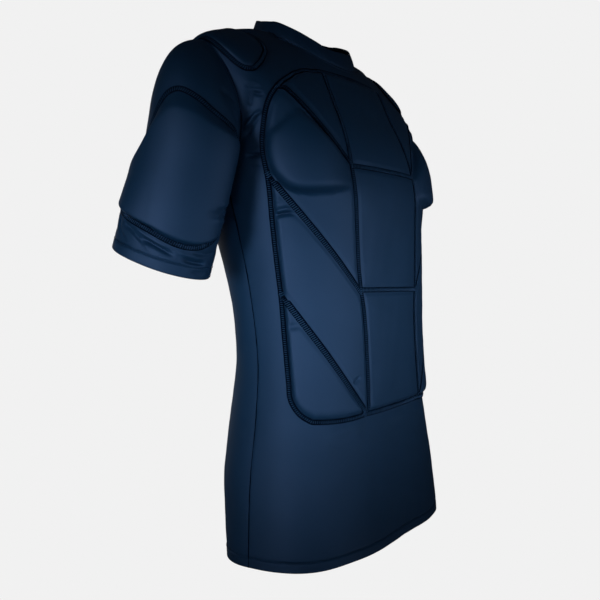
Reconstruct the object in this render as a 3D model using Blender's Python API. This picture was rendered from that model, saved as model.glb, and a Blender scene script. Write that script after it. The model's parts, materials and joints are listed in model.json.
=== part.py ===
# Padded compression shirt in the form it has on a general figure.
# Metres, +Z up. The wearer faces -Y, and the wearer's left is +X.
# Z = 0 is the top of the shoulder beside the neck; Y = 0 is the middle of the waist.
import bpy
import numpy as np

for old in list(bpy.data.objects):
    bpy.data.objects.remove(old, do_unlink=True)

CLOTH_WALL = 0.002
SEAM_GAP = 0.0003
SLEEVE_GAP = 0.0008
PAD_LIFT = 0.0010

# Sections of the body, from below the hem up to the neck seam. Each is a rounded oval.
# level: height at the wearer's side
# half_width: from the middle to the side
# mid_y: where the side lies, front to back
# front_y, back_y: the front and the back of the section
# front_drop, back_drop: how far the front and the back lie under the side
# front_square, back_square: how square the oval is (2 is an ellipse)
BODY_COLUMNS = ("level", "half_width", "mid_y", "front_y", "back_y",
                "front_drop", "back_drop", "front_square", "back_square")
BODY_SECTIONS = (
    (-0.705, 0.170, 0.000, -0.119, 0.094, -0.010, 0.000, 2.9, 2.3),
    (-0.640, 0.170, 0.000, -0.116, 0.101, -0.008, 0.000, 2.8, 2.3),
    (-0.575, 0.167, 0.000, -0.109, 0.108, -0.004, 0.000, 2.7, 2.3),
    (-0.505, 0.157, 0.000, -0.101, 0.103, 0.000, 0.000, 2.6, 2.3),
    (-0.435, 0.150, 0.002, -0.096, 0.093, 0.000, 0.000, 2.6, 2.3),
    (-0.365, 0.153, 0.008, -0.092, 0.097, 0.000, 0.000, 2.6, 2.3),
    (-0.300, 0.160, 0.017, -0.090, 0.114, 0.004, 0.000, 2.6, 2.3),
    (-0.245, 0.167, 0.027, -0.090, 0.130, 0.012, 0.004, 2.5, 2.3),
    (-0.195, 0.173, 0.036, -0.089, 0.140, 0.028, 0.010, 2.5, 2.3),
    (-0.150, 0.178, 0.042, -0.084, 0.145, 0.046, 0.022, 2.4, 2.3),
    (-0.105, 0.188, 0.046, -0.075, 0.145, 0.062, 0.034, 2.3, 2.2),
    (-0.068, 0.199, 0.048, -0.064, 0.142, 0.075, 0.036, 2.2, 2.2),
    (-0.046, 0.200, 0.049, -0.054, 0.137, 0.078, 0.026, 2.1, 2.1),
    (-0.028, 0.163, 0.048, -0.044, 0.130, 0.072, 0.010, 2.05, 2.05),
    (-0.016, 0.118, 0.046, -0.034, 0.121, 0.058, -0.006, 2.0, 2.0),
    (-0.014, 0.077, 0.0445, -0.023, 0.112, 0.036, -0.026, 2.0, 2.0),
)
DROP_POWER = 1.5

# Height of the hem, by the angle from the front middle in degrees.
HEM_COLUMNS = ("angle", "height")
HEM_HEIGHTS = (
    (0, -0.658),
    (15, -0.659),
    (30, -0.661),
    (45, -0.662),
    (60, -0.666),
    (75, -0.668),
    (90, -0.670),
    (120, -0.674),
    (150, -0.677),
    (180, -0.678),
)
# The wearer's left side of the hem sits this much higher at the side, and the right as much lower.
HEM_TILT = 0.0085

# Armhole: its top and bottom by level, and how far it cuts into the front and the back.
SHOULDER_TIP_LEVEL = -0.046
ARMPIT_LEVEL = -0.192
ARMHOLE_FRONT = np.radians(12.5)
ARMHOLE_BACK = np.radians(15)

# Sleeve sections under the shoulder cap, for the wearer's left arm.
# x, y, z: the middle; outer, inner, front, back: the radii
# slope: how much lower the front is than the middle, per metre; cant: the same for the outer side
ARM_COLUMNS = ("x", "y", "z", "outer", "inner", "front", "back", "slope", "cant")
ARM_SECTIONS = (
    (0.216, 0.049, -0.200, 0.057, 0.042, 0.057, 0.058, 0.10, -0.30),
    (0.2265, 0.061, -0.255, 0.058, 0.047, 0.057, 0.058, 0.25, -0.12),
    (0.235, 0.075, -0.311, 0.055, 0.052, 0.055, 0.055, 0.38, -0.05),
)
CAP_SHARE = 0.55

# The direction in which the sleeve leaves the armhole, and how strongly it keeps to it.
LEAVE_COLUMNS = ("side", "x", "y", "z", "reach")
SLEEVE_LEAVES = (
    ("top", 1.00, 0.00, -0.14, 1.38),
    ("front", 0.72, -0.40, -0.45, 1.15),
    ("armpit", 0.45, 0.00, -0.55, 1.00),
    ("back", 0.80, 0.40, -0.45, 1.30),
)

COLLAR_HEIGHT = 0.020
COLLAR_LEAN = 0.006

# Front padding. Lines are given by the angle from the front middle (degrees) and the height.
PAD_OUTER_COLUMNS = ("height", "angle")
PAD_OUTER_EDGE = (
    (-0.068, 42.0),
    (-0.070, 49.0),
    (-0.076, 55.5),
    (-0.087, 59.5),
    (-0.102, 63.0),
    (-0.118, 65.8),
    (-0.150, 69.0),
    (-0.175, 70.5),
    (-0.212, 70.2),
    (-0.260, 72.0),
    (-0.310, 73.5),
    (-0.350, 74.0),
    (-0.415, 74.5),
    (-0.455, 73.5),
    (-0.470, 72.8),
    (-0.480, 70.8),
    (-0.489, 67.5),
    (-0.496, 63.0),
)
CENTRE_SEAM_COLUMNS = ("height", "angle")
CENTRE_SEAM = (
    (-0.066, 41.0),
    (-0.085, 38.5),
    (-0.105, 35.5),
    (-0.125, 33.5),
    (-0.150, 32.0),
    (-0.175, 31.5),
    (-0.194, 31.5),
    (-0.235, 32.0),
    (-0.275, 33.5),
    (-0.320, 34.5),
    (-0.345, 34.0),
    (-0.365, 33.0),
    (-0.430, 32.5),
    (-0.500, 33.0),
)
PAD_TOP = -0.067
PAD_BOTTOM = -0.494
# The rounded corners of the padding: heights on its outer edge.
TOP_CORNER_START = -0.0685
TOP_CORNER_END = -0.081
BASE_CORNER_START = -0.474
BASE_CORNER_END = -0.4955
# How far the lower edge hangs under the straight line in the middle of each side.
BASE_BOW = 0.002
# The padding leans with the hem: by this much at the side, coming in over this run under this height.
PAD_TILT = 0.006
PAD_TILT_FROM = -0.42
PAD_TILT_RUN = 0.08
UPPER_CROSS_SEAM = -0.194
LOWER_CROSS_SEAM = -0.3445
# The three slanting seams run from the outer edge down to the centre seam.
# start, end: heights; bow: how far the middle hangs under the straight line
SLANT_COLUMNS = ("name", "start", "end", "bow")
SLANT_SEAMS = (
    ("first", -0.1035, -0.1905, 0.002),
    ("second", -0.2105, -0.3465, 0.0145),
    ("third", -0.3515, -0.494, 0.0145),
)
SEAM_HALF = 0.0021
# Metres on the cloth for one degree and for one unit of the second value, for each kind of pad.
FRONT_SCALE = (0.0024, 1.0)
SHOULDER_SCALE = (0.0030, 0.126)
SLEEVE_SCALE = (0.00105, 0.26)
PAD_EDGE = 0.0016
PAD_THICK = 0.0075
PAD_ROUND = 0.016

# Chest pads stand out further above this height. angle, height: the peak; rise: how much further.
CHEST_PEAK_ANGLE = 52.0
CHEST_PEAK_HEIGHT = -0.190
CHEST_RISE = 0.011
CHEST_UP = 0.062
CHEST_DOWN = 0.040
CHEST_SPREAD = 23.0

# Half of the shoulder pad's outline, by the angle from the side seam's line (degrees).
# near_tip, near_neck: share of the way from the shoulder tip to the neck
SHOULDER_PAD_COLUMNS = ("angle", "near_tip", "near_neck")
SHOULDER_PAD_EDGES = (
    (0.0, 0.035, 0.475),
    (4.0, 0.020, 0.482),
    (7.5, -0.025, 0.490),
    (11.0, -0.085, 0.488),
    (14.5, -0.135, 0.465),
    (17.5, -0.110, 0.405),
    (19.5, 0.015, 0.285),
    (20.0, 0.120, 0.180),
)
SHOULDER_PAD_THICK = 0.0055
SHOULDER_PAD_LIFT = 0.0015
SHOULDER_PAD_ROUND = 0.010

# Sleeve pad: its upper and lower edge by the angle round the arm from the outer side (degrees).
# upper, lower: share of the way from the armhole to the cuff
SLEEVE_PAD_COLUMNS = ("angle", "upper", "lower")
SLEEVE_PAD_EDGES = (
    (-100, 0.535, 0.765),
    (-80, 0.560, 0.775),
    (-60, 0.580, 0.785),
    (-40, 0.560, 0.795),
    (-20, 0.495, 0.825),
    (0, 0.385, 0.843),
    (20, 0.325, 0.856),
    (40, 0.312, 0.872),
    (60, 0.315, 0.880),
    (80, 0.295, 0.868),
    (95, 0.275, 0.835),
    (108, 0.300, 0.790),
)
SLEEVE_PAD_THICK = 0.0085
SLEEVE_PAD_ROUND = 0.018

# How fine each grid is.
# panel rows: up to the armpit, along the armhole, above it; sleeve rows: in the cap, under it
FRONT_COLUMNS = 28
FRONT_ROWS = (20, 10, 6)
BACK_COLUMNS = 24
BACK_ROWS = (14, 10, 5)
COLLAR_COLUMNS = 40
SLEEVE_COLUMNS = 28
SLEEVE_ROWS = (8, 5)
PAD_POINTS = 8
CENTRE_PAD_COLUMNS = 10
SHOULDER_PAD_ROWS = 7
SHOULDER_PAD_COLUMN_COUNT = 17
SLEEVE_PAD_ROWS = 10
SLEEVE_PAD_COLUMN_COUNT = 24
LINE_POINTS = 60

NAVY = (0.012, 0.022, 0.050)


def smooth_table(knots, table, at):
    """Smooth curve through the rows of a table, which lie at the knots."""
    table = np.asarray(table, float)
    knots = np.asarray(knots, float)
    step = np.diff(knots)
    slope = np.diff(table, axis=0) / step[:, None]
    tangent = np.empty_like(table)
    weighed = slope[:-1] * step[1:, None] + slope[1:] * step[:-1, None]
    tangent[1:-1] = weighed / (step[:-1] + step[1:])[:, None]
    tangent[0] = slope[0]
    tangent[-1] = slope[-1]
    at = np.clip(at, knots[0], knots[-1])
    row = np.clip(np.searchsorted(knots, at, side="right") - 1, 0, len(knots) - 2)
    width = step[row][..., None]
    t = (at - knots[row])[..., None] / width
    return ((2 * t**3 - 3 * t**2 + 1) * table[row]
            + (t**3 - 2 * t**2 + t) * width * tangent[row]
            + (3 * t**2 - 2 * t**3) * table[row + 1]
            + (t**3 - t**2) * width * tangent[row + 1])


def body_knots():
    """Where each section lies along the body, from 0 at the lowest to 1 at the neck."""
    rows = np.array(BODY_SECTIONS)
    side = np.hypot(np.diff(rows[:, 0]), 0.6 * np.diff(rows[:, 1]))
    front = np.hypot(np.diff(rows[:, 0] - rows[:, 5]), np.diff(rows[:, 3]))
    length = np.concatenate([[0], np.cumsum((side + front) / 2)])
    return length / length[-1]


BODY_KNOTS = body_knots()


def body(angle, along):
    """Point of the body's outer face. angle: 0 at the front middle, 90 degrees at the left side."""
    angle, along = np.broadcast_arrays(np.asarray(angle, float), np.asarray(along, float))
    values = smooth_table(BODY_KNOTS, BODY_SECTIONS, along)
    level, half, mid, front_y, back_y, front_drop, back_drop, front_sq, back_sq = np.moveaxis(values, -1, 0)
    side = np.sin(angle)
    ahead = np.cos(angle)
    front = ahead > 0
    depth = np.where(front, mid - front_y, back_y - mid)
    square = np.where(front, front_sq, back_sq)
    radius = (np.abs(side / half) ** square + np.abs(ahead / depth) ** square) ** (-1 / square)
    share = np.clip(np.abs(radius * ahead) / depth, 0, 1)
    height = level - np.where(front, front_drop, back_drop) * share**DROP_POWER
    return np.stack([radius * side, mid - radius * ahead, height], -1)


def body_normal(angle, along):
    """Outward direction of the body's face."""
    small = 1e-4
    low = np.clip(np.asarray(along) - small, 0, 1)
    high = np.clip(np.asarray(along) + small, 0, 1)
    around = body(np.asarray(angle) + small, along) - body(np.asarray(angle) - small, along)
    upward = body(angle, high) - body(angle, low)
    normal = np.cross(around, upward)
    return normal / np.linalg.norm(normal, axis=-1, keepdims=True)


def along_at(angle, height):
    """How far along the body the face has this height at this angle."""
    angle, height = np.broadcast_arrays(np.asarray(angle, float), np.asarray(height, float))
    low = np.zeros(angle.shape)
    high = np.ones(angle.shape)
    for _ in range(30):
        middle = (low + high) / 2
        under = body(angle, middle)[..., 2] < height
        low = np.where(under, middle, low)
        high = np.where(under, high, middle)
    return (low + high) / 2


TIP = float(along_at(np.pi / 2, SHOULDER_TIP_LEVEL))
ARMPIT = float(along_at(np.pi / 2, ARMPIT_LEVEL))


def hem_along(angle):
    """How far along the body the hem lies at this angle."""
    rows = np.array(HEM_HEIGHTS)
    turn = np.abs(np.degrees(angle))
    turn = np.where(turn > 180, 360 - turn, turn)
    height = smooth_table(rows[:, 0], rows[:, 1:], turn)[..., 0] + HEM_TILT * np.sin(angle)
    return along_at(angle, height)


def armhole(turn):
    """Angle and place along the body of the armhole. turn: 0 at the tip, 90 degrees in front."""
    along = (TIP + ARMPIT) / 2 + (TIP - ARMPIT) / 2 * np.cos(turn)
    cut = np.where(np.sin(turn) > 0, ARMHOLE_FRONT, ARMHOLE_BACK)
    return np.pi / 2 - cut * np.sin(turn), along


def panel_rows(under_arm, at_arm, over_arm):
    """Rows from the hem to the neck: the share from the hem to the armpit, and the place above it."""
    rows = [("share", t) for t in np.linspace(0, 1, under_arm + 1)]
    turns = np.linspace(np.pi, 0, at_arm + 1)[1:]
    rows += [("along", float(armhole(turn)[1])) for turn in turns]
    rows += [("along", float(t)) for t in np.linspace(TIP, 1, over_arm + 1)[1:]]
    return rows


def panel_edge(along, cut):
    """Angle of the panel's side edge: the side seam, the armhole or the shoulder seam."""
    middle = (TIP + ARMPIT) / 2
    half = (TIP - ARMPIT) / 2
    inside = np.clip(1 - ((along - middle) / half) ** 2, 0, 1)
    return cut * np.sqrt(inside)


def body_panel(front, columns, rows):
    """Angles and places along the body of a grid over the front or the back."""
    angles = np.empty((len(rows), columns + 1))
    places = np.empty((len(rows), columns + 1))
    spread = np.linspace(-1, 1, columns + 1)
    for i, (kind, value) in enumerate(rows):
        if kind == "share":
            half = np.pi / 2
        else:
            cut = ARMHOLE_FRONT if front else ARMHOLE_BACK
            half = np.pi / 2 - panel_edge(value, cut)
        width = np.linalg.norm(body(np.pi / 2, ARMPIT if kind == "share" else value)[:2])
        half = half - 0.5 * SEAM_GAP / width
        turn = spread * half
        if not front:
            turn = np.pi + turn
        angles[i] = turn
        if kind == "share":
            bottom = hem_along(np.arctan2(np.sin(turn), np.cos(turn)))
            places[i] = bottom + (ARMPIT - bottom) * value
        else:
            places[i] = value
    return angles, places


def sleeve_ring(turn, share):
    """Point of a sleeve under the cap."""
    rows = np.asarray(ARM_SECTIONS)
    length = np.linalg.norm(np.diff(rows[:, :3], axis=0), axis=1)
    knots = np.concatenate([[0], np.cumsum(length)])
    values = smooth_table(knots / knots[-1], rows, share)
    x, y, z, outer, inner, front, back, slope, cant = np.moveaxis(values, -1, 0)
    out = np.where(np.cos(turn) > 0, outer, inner) * np.cos(turn)
    ahead = np.where(np.sin(turn) > 0, front, back) * np.sin(turn)
    return np.stack([x + out, y - ahead, z - cant * out - slope * ahead], -1)


def sleeve(turn, share):
    """Point of the left sleeve's outer face. share: 0 at the armhole, 1 at the cuff."""
    turn, share = np.broadcast_arrays(np.asarray(turn, float), np.asarray(share, float))
    start = body(*armhole(turn))
    end = sleeve_ring(turn, np.zeros_like(turn))
    down = sleeve_ring(turn, np.full_like(turn, 0.02)) - end
    down = down / np.linalg.norm(down, axis=-1, keepdims=True)
    leaves = {row[0]: np.array(row[1:]) for row in SLEEVE_LEAVES}
    out = np.cos(turn)[..., None]
    ahead = np.sin(turn)[..., None]
    mixed = (np.maximum(out, 0) ** 2 * leaves["top"] + np.maximum(-out, 0) ** 2 * leaves["armpit"]
             + np.maximum(ahead, 0) ** 2 * leaves["front"] + np.maximum(-ahead, 0) ** 2 * leaves["back"])
    leave = mixed[..., :3] / np.linalg.norm(mixed[..., :3], axis=-1, keepdims=True)
    chord = np.linalg.norm(end - start, axis=-1, keepdims=True)
    first = mixed[..., 3:] * chord * leave
    last = 1.1 * chord * down
    t = np.clip(share / CAP_SHARE, 0, 1)[..., None]
    t = np.maximum(t, SLEEVE_GAP / np.linalg.norm(first, axis=-1, keepdims=True))
    cap = ((2 * t**3 - 3 * t**2 + 1) * start + (t**3 - 2 * t**2 + t) * first
           + (3 * t**2 - 2 * t**3) * end + (t**3 - t**2) * last)
    low = sleeve_ring(turn, np.clip((share - CAP_SHARE) / (1 - CAP_SHARE), 0, 1))
    return np.where(share[..., None] < CAP_SHARE, cap, low)


def sleeve_normal(turn, share):
    """Outward direction of the left sleeve's face."""
    small = 2e-3
    low = np.clip(np.asarray(share) - small, 0.020, 1)
    high = np.clip(np.asarray(share) + small, 0.026, 1)
    around = sleeve(np.asarray(turn) + small, share) - sleeve(np.asarray(turn) - small, share)
    downward = sleeve(turn, high) - sleeve(turn, low)
    normal = np.cross(around, downward)
    return normal / np.linalg.norm(normal, axis=-1, keepdims=True)


def grid_solid(outer, inner, ring=False):
    """Closed solid between two grids of points. With ring, the columns close round."""
    rows, columns = outer.shape[:2]
    count = rows * columns
    points = np.concatenate([outer.reshape(-1, 3), inner.reshape(-1, 3)])
    index = np.arange(count).reshape(rows, columns)
    faces = []
    last = columns if ring else columns - 1
    for i in range(rows - 1):
        for j in range(last):
            a = index[i, j]
            b = index[i, (j + 1) % columns]
            c = index[i + 1, (j + 1) % columns]
            d = index[i + 1, j]
            faces.append((a, b, c, d))
            faces.append((d + count, c + count, b + count, a + count))
    for j in range(last):
        a = index[0, j]
        b = index[0, (j + 1) % columns]
        faces.append((b, a, a + count, b + count))
        a = index[-1, j]
        b = index[-1, (j + 1) % columns]
        faces.append((a, b, b + count, a + count))
    if not ring:
        for i in range(rows - 1):
            a = index[i, 0]
            b = index[i + 1, 0]
            faces.append((a, b, b + count, a + count))
            a = index[i, -1]
            b = index[i + 1, -1]
            faces.append((b, a, a + count, b + count))
    return points, faces


def signed_volume(points, faces):
    """Volume inside the faces: negative if they face inward."""
    total = 0.0
    for face in faces:
        a = points[face[0]]
        for k in range(1, len(face) - 1):
            total += np.dot(a, np.cross(points[face[k]], points[face[k + 1]])) / 6
    return total


def add_piece(name, points, faces, colour=NAVY):
    """Make one object with its own material."""
    if signed_volume(points, faces) < 0:
        faces = [tuple(reversed(face)) for face in faces]
    mesh = bpy.data.meshes.new(name)
    mesh.from_pydata([tuple(p) for p in points], [], [tuple(int(i) for i in f) for f in faces])
    mesh.validate()
    for polygon in mesh.polygons:
        polygon.use_smooth = True
    material = bpy.data.materials.new(name + "_cloth")
    material.use_nodes = True
    shader = material.node_tree.nodes["Principled BSDF"]
    shader.inputs["Base Color"].default_value = (*colour, 1)
    shader.inputs["Roughness"].default_value = 0.7
    mesh.materials.append(material)
    piece = bpy.data.objects.new(name, mesh)
    bpy.context.scene.collection.objects.link(piece)
    return piece


def mirrored(points):
    return points * np.array([-1.0, 1.0, 1.0])


# Body panels
def add_body_panel(name, front, columns, rows):
    angles, places = body_panel(front, columns, rows)
    outer = body(angles, places)
    inner = outer - CLOTH_WALL * body_normal(angles, np.clip(places, 0.0005, 0.9995))
    add_piece(name, *grid_solid(outer, inner))


add_body_panel("front_panel", True, FRONT_COLUMNS, panel_rows(*FRONT_ROWS))
add_body_panel("back_panel", False, BACK_COLUMNS, panel_rows(*BACK_ROWS))


# Collar
def add_collar(name, columns):
    angles = np.linspace(-np.pi, np.pi, columns + 1)[:-1]
    seam = body(angles, np.ones_like(angles))
    out = np.stack([np.sin(angles), -np.cos(angles), np.zeros_like(angles)], -1)
    outer = []
    for share in (0.0, 0.5, 1.0):
        rise = SEAM_GAP + (COLLAR_HEIGHT - SEAM_GAP) * share
        outer.append(seam - out * COLLAR_LEAN * share + np.array([0, 0, rise]))
    outer = np.array(outer)
    inner = outer - CLOTH_WALL * out
    add_piece(name, *grid_solid(outer, inner, ring=True))


add_collar("collar", COLLAR_COLUMNS)


# Sleeves
def sleeve_shares(cap_rows, low_rows):
    cap = np.linspace(0, CAP_SHARE, cap_rows + 1)
    low = np.linspace(CAP_SHARE, 1, low_rows + 1)[1:]
    return np.concatenate([cap, low])


def add_sleeve(name, right, columns):
    turns = np.linspace(0, 2 * np.pi, columns + 1)[:-1]
    turn, share = np.meshgrid(turns, sleeve_shares(*SLEEVE_ROWS))
    outer = sleeve(turn, share)
    inner = outer - CLOTH_WALL * sleeve_normal(turn, share)
    if right:
        outer = mirrored(outer)
        inner = mirrored(inner)
    add_piece(name, *grid_solid(outer, inner, ring=True))


add_sleeve("sleeve_L", False, SLEEVE_COLUMNS)
add_sleeve("sleeve_R", True, SLEEVE_COLUMNS)


# Front padding
def outer_edge(height):
    rows = np.array(PAD_OUTER_EDGE)[::-1]
    return smooth_table(rows[:, 0], rows[:, 1:], np.asarray(height, float))[..., 0]


def centre_seam(height):
    rows = np.array(CENTRE_SEAM)[::-1]
    return smooth_table(rows[:, 0], rows[:, 1:], np.asarray(height, float))[..., 0]


def slant_line(name, count):
    """Points (angle, height) of a slanting seam from the outer edge to the centre seam."""
    start, end, bow = {row[0]: row[1:] for row in SLANT_SEAMS}[name]
    t = np.linspace(0, 1, count)
    first = float(outer_edge(start))
    last = float(centre_seam(end))
    height = start + (end - start) * t - bow * 4 * t * (1 - t)
    return np.stack([first + (last - first) * t, height], -1)


def outer_line(top, bottom, count):
    height = np.linspace(top, bottom, count)
    return np.stack([outer_edge(height), height], -1)


def seam_line(top, bottom, count):
    height = np.linspace(top, bottom, count)
    return np.stack([centre_seam(height), height], -1)


def even_points(line, count):
    """The line again, with points at even distances on the cloth."""
    length = np.linalg.norm(np.diff(line * np.array(FRONT_SCALE), axis=0), axis=1)
    length = np.concatenate([[0], np.cumsum(length)])
    at = np.linspace(0, length[-1], count)
    return np.stack([np.interp(at, length, line[:, k]) for k in range(2)], -1)


def patch(left, right, top, bottom):
    """Grid between four lines that share their corners."""
    v = np.linspace(0, 1, len(left))[:, None, None]
    u = np.linspace(0, 1, len(top))[None, :, None]
    sides = left[:, None] * (1 - u) + right[:, None] * u
    ends = top[None] * (1 - v) + bottom[None] * v
    corners = (top[0] * (1 - u) * (1 - v) + top[-1] * u * (1 - v)
               + bottom[0] * (1 - u) * v + bottom[-1] * u * v)
    return sides + ends - corners


def border(grid):
    """The border points of a grid, once round."""
    return np.concatenate([grid[0, :-1], grid[:-1, -1], grid[-1, :0:-1], grid[:0:-1, 0]])


def pull_in(grid, margin):
    """Move the border of a grid in by the margin, on the cloth."""
    scale = np.array(FRONT_SCALE)
    loop = border(grid * scale)
    after = np.roll(loop, -1, axis=0)
    area = np.sum(loop[:, 0] * after[:, 1] - after[:, 0] * loop[:, 1])
    run = after - loop
    run = run / np.maximum(np.linalg.norm(run, axis=1, keepdims=True), 1e-9)
    side = np.stack([-run[:, 1], run[:, 0]], -1) * np.sign(area)
    before = np.roll(side, 1, axis=0)
    lean = 1 + (side * before).sum(-1, keepdims=True)
    moved = loop + margin * (side + before) / np.maximum(lean, 0.45)
    rows, columns = grid.shape[:2]
    top = moved[:columns]
    right = moved[columns - 1:columns + rows - 1]
    bottom = moved[columns + rows - 2:2 * columns + rows - 2][::-1]
    left = np.concatenate([moved[2 * columns + rows - 3:], moved[:1]])[::-1]
    return patch(left, right, top, bottom) / scale


def edge_distance(grid, scale):
    """Distance of each grid point to the border, on the cloth."""
    flat = grid * np.array(scale)
    start = border(flat)
    run = np.roll(start, -1, axis=0) - start
    size = np.maximum((run**2).sum(-1), 1e-12)
    points = flat.reshape(-1, 1, 2)
    t = np.clip(((points - start) * run).sum(-1) / size, 0, 1)
    nearest = start + t[..., None] * run
    return np.linalg.norm(points - nearest, axis=-1).min(axis=1).reshape(grid.shape[:2])


def rounded(distance, width):
    """0 at the edge, rising to 1 with a round shoulder at the width."""
    t = np.clip(distance / width, 0, 1)
    return np.sqrt(1 - (1 - t) ** 2)


def chest_rise(angle, height):
    """How much further the chest pads stand out."""
    over = height - CHEST_PEAK_HEIGHT
    tall = np.where(over > 0, np.clip(over / CHEST_UP, 0, 1), np.clip(-over / CHEST_DOWN, 0, 1))
    wide = np.clip((np.abs(angle) - CHEST_PEAK_ANGLE) / CHEST_SPREAD, -1, 1)
    return CHEST_RISE * (1 - tall**2) ** 2 * (1 - wide**2) ** 2


def add_front_pad(name, grid):
    """Padding over a patch of the front, given by angle (degrees) and height."""
    grid = pull_in(grid, SEAM_HALF)
    distance = edge_distance(grid, FRONT_SCALE)
    thick = PAD_EDGE + (PAD_THICK - PAD_EDGE) * rounded(distance, PAD_ROUND)
    thick = thick + chest_rise(grid[..., 0], grid[..., 1]) * rounded(distance, 1.5 * PAD_ROUND)
    angle = np.radians(grid[..., 0])
    low = np.clip((PAD_TILT_FROM - grid[..., 1]) / PAD_TILT_RUN, 0, 1)
    height = grid[..., 1] + PAD_TILT * low * np.sin(angle)
    along = along_at(angle, height)
    face = body(angle, along)
    normal = body_normal(angle, along)
    under = face + normal * PAD_LIFT
    over = face + normal * (PAD_LIFT + thick[..., None])
    add_piece(name, *grid_solid(over, under))


def opposite(grid):
    """The same patch on the wearer's right."""
    return grid * np.array([-1.0, 1.0])


def side_pads(count):
    """Patches of the side pads on the wearer's left, by name."""
    first = slant_line("first", LINE_POINTS)
    second = slant_line("second", LINE_POINTS)
    third = slant_line("third", LINE_POINTS)
    crown = np.array([[float(centre_seam(PAD_TOP)), PAD_TOP]])
    crown_side = np.concatenate([crown, outer_line(TOP_CORNER_START, TOP_CORNER_END, LINE_POINTS)])
    pads = {}
    pads["pad_top"] = patch(even_points(outer_line(TOP_CORNER_END, first[0, 1], LINE_POINTS), count),
                            even_points(seam_line(PAD_TOP, first[-1, 1], LINE_POINTS), count),
                            even_points(crown_side[::-1], count),
                            even_points(first, count))
    pads["pad_chest"] = patch(even_points(outer_line(first[0, 1], second[0, 1], LINE_POINTS), count),
                              even_points(seam_line(first[-1, 1], second[-1, 1], LINE_POINTS), count),
                              even_points(first, count),
                              even_points(second, count))
    pads["pad_waist"] = patch(even_points(outer_line(second[0, 1], third[0, 1], LINE_POINTS), count),
                              even_points(seam_line(second[-1, 1], third[-1, 1], LINE_POINTS), count),
                              even_points(second, count),
                              even_points(third, count))
    base_start = outer_line(BASE_CORNER_START, BASE_CORNER_END, LINE_POINTS)
    t = np.linspace(0, 1, LINE_POINTS)[:, None]
    base = base_start[-1] * (1 - t) + third[-1] * t
    base[:, 1] -= BASE_BOW * 4 * (t * (1 - t))[:, 0]
    pads["pad_belly"] = patch(even_points(outer_line(third[0, 1], BASE_CORNER_START, LINE_POINTS), count),
                              even_points(base[::-1], count),
                              even_points(third, count),
                              even_points(base_start, count))
    return pads


def centre_pad(top, bottom, rows, columns):
    """Patch between the two centre seams."""
    right = seam_line(top, bottom, rows)
    left = opposite(right)
    t = np.linspace(0, 1, columns)[:, None]
    return patch(left, right, left[0] * (1 - t) + right[0] * t, left[-1] * (1 - t) + right[-1] * t)


for pad_name, pad_patch in side_pads(PAD_POINTS).items():
    add_front_pad(pad_name + "_L", pad_patch)
    add_front_pad(pad_name + "_R", opposite(pad_patch))

for pad_name, pad_top, pad_bottom in (("pad_centre_upper", PAD_TOP, UPPER_CROSS_SEAM),
                                      ("pad_centre_middle", UPPER_CROSS_SEAM, LOWER_CROSS_SEAM),
                                      ("pad_centre_lower", LOWER_CROSS_SEAM, PAD_BOTTOM)):
    add_front_pad(pad_name, centre_pad(pad_top, pad_bottom, PAD_POINTS, CENTRE_PAD_COLUMNS))


# Shoulder pads, over the shoulder seam
def add_shoulder_pad(name, right, rows, columns):
    table = np.array(SHOULDER_PAD_EDGES)
    spread = np.sin(np.linspace(-1, 1, columns) * np.pi / 2)
    angle = table[-1, 0] * spread
    edges = smooth_table(table[:, 0], table[:, 1:], np.abs(angle))
    v = np.linspace(0, 1, rows)[:, None]
    share = edges[:, 0] * (1 - v) + edges[:, 1] * v
    grid = np.stack([np.broadcast_to(angle, share.shape), share], -1)
    distance = edge_distance(grid, SHOULDER_SCALE)
    thick = PAD_EDGE + (SHOULDER_PAD_THICK - PAD_EDGE) * rounded(distance, SHOULDER_PAD_ROUND)
    around = np.pi / 2 - np.radians(grid[..., 0])
    along = TIP + (1 - TIP) * share
    face = body(around, along)
    normal = body_normal(around, along)
    under = face + normal * SHOULDER_PAD_LIFT
    over = face + normal * (SHOULDER_PAD_LIFT + thick[..., None])
    if right:
        under = mirrored(under)
        over = mirrored(over)
    add_piece(name, *grid_solid(over, under))


add_shoulder_pad("shoulder_pad_L", False, SHOULDER_PAD_ROWS, SHOULDER_PAD_COLUMN_COUNT)
add_shoulder_pad("shoulder_pad_R", True, SHOULDER_PAD_ROWS, SHOULDER_PAD_COLUMN_COUNT)


# Sleeve pads
def add_sleeve_pad(name, right, rows, columns):
    table = np.array(SLEEVE_PAD_EDGES)
    angle = np.linspace(table[0, 0], table[-1, 0], columns)
    edges = smooth_table(table[:, 0], table[:, 1:], angle)
    v = np.linspace(0, 1, rows)[:, None]
    share = edges[:, 0] * (1 - v) + edges[:, 1] * v
    grid = np.stack([np.broadcast_to(angle, share.shape), share], -1)
    distance = edge_distance(grid, SLEEVE_SCALE)
    thick = PAD_EDGE + (SLEEVE_PAD_THICK - PAD_EDGE) * rounded(distance, SLEEVE_PAD_ROUND)
    turn = np.radians(grid[..., 0])
    face = sleeve(turn, share)
    normal = sleeve_normal(turn, share)
    under = face + normal * PAD_LIFT
    over = face + normal * (PAD_LIFT + thick[..., None])
    if right:
        under = mirrored(under)
        over = mirrored(over)
    add_piece(name, *grid_solid(over, under))


add_sleeve_pad("sleeve_pad_L", False, SLEEVE_PAD_ROWS, SLEEVE_PAD_COLUMN_COUNT)
add_sleeve_pad("sleeve_pad_R", True, SLEEVE_PAD_ROWS, SLEEVE_PAD_COLUMN_COUNT)
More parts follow.
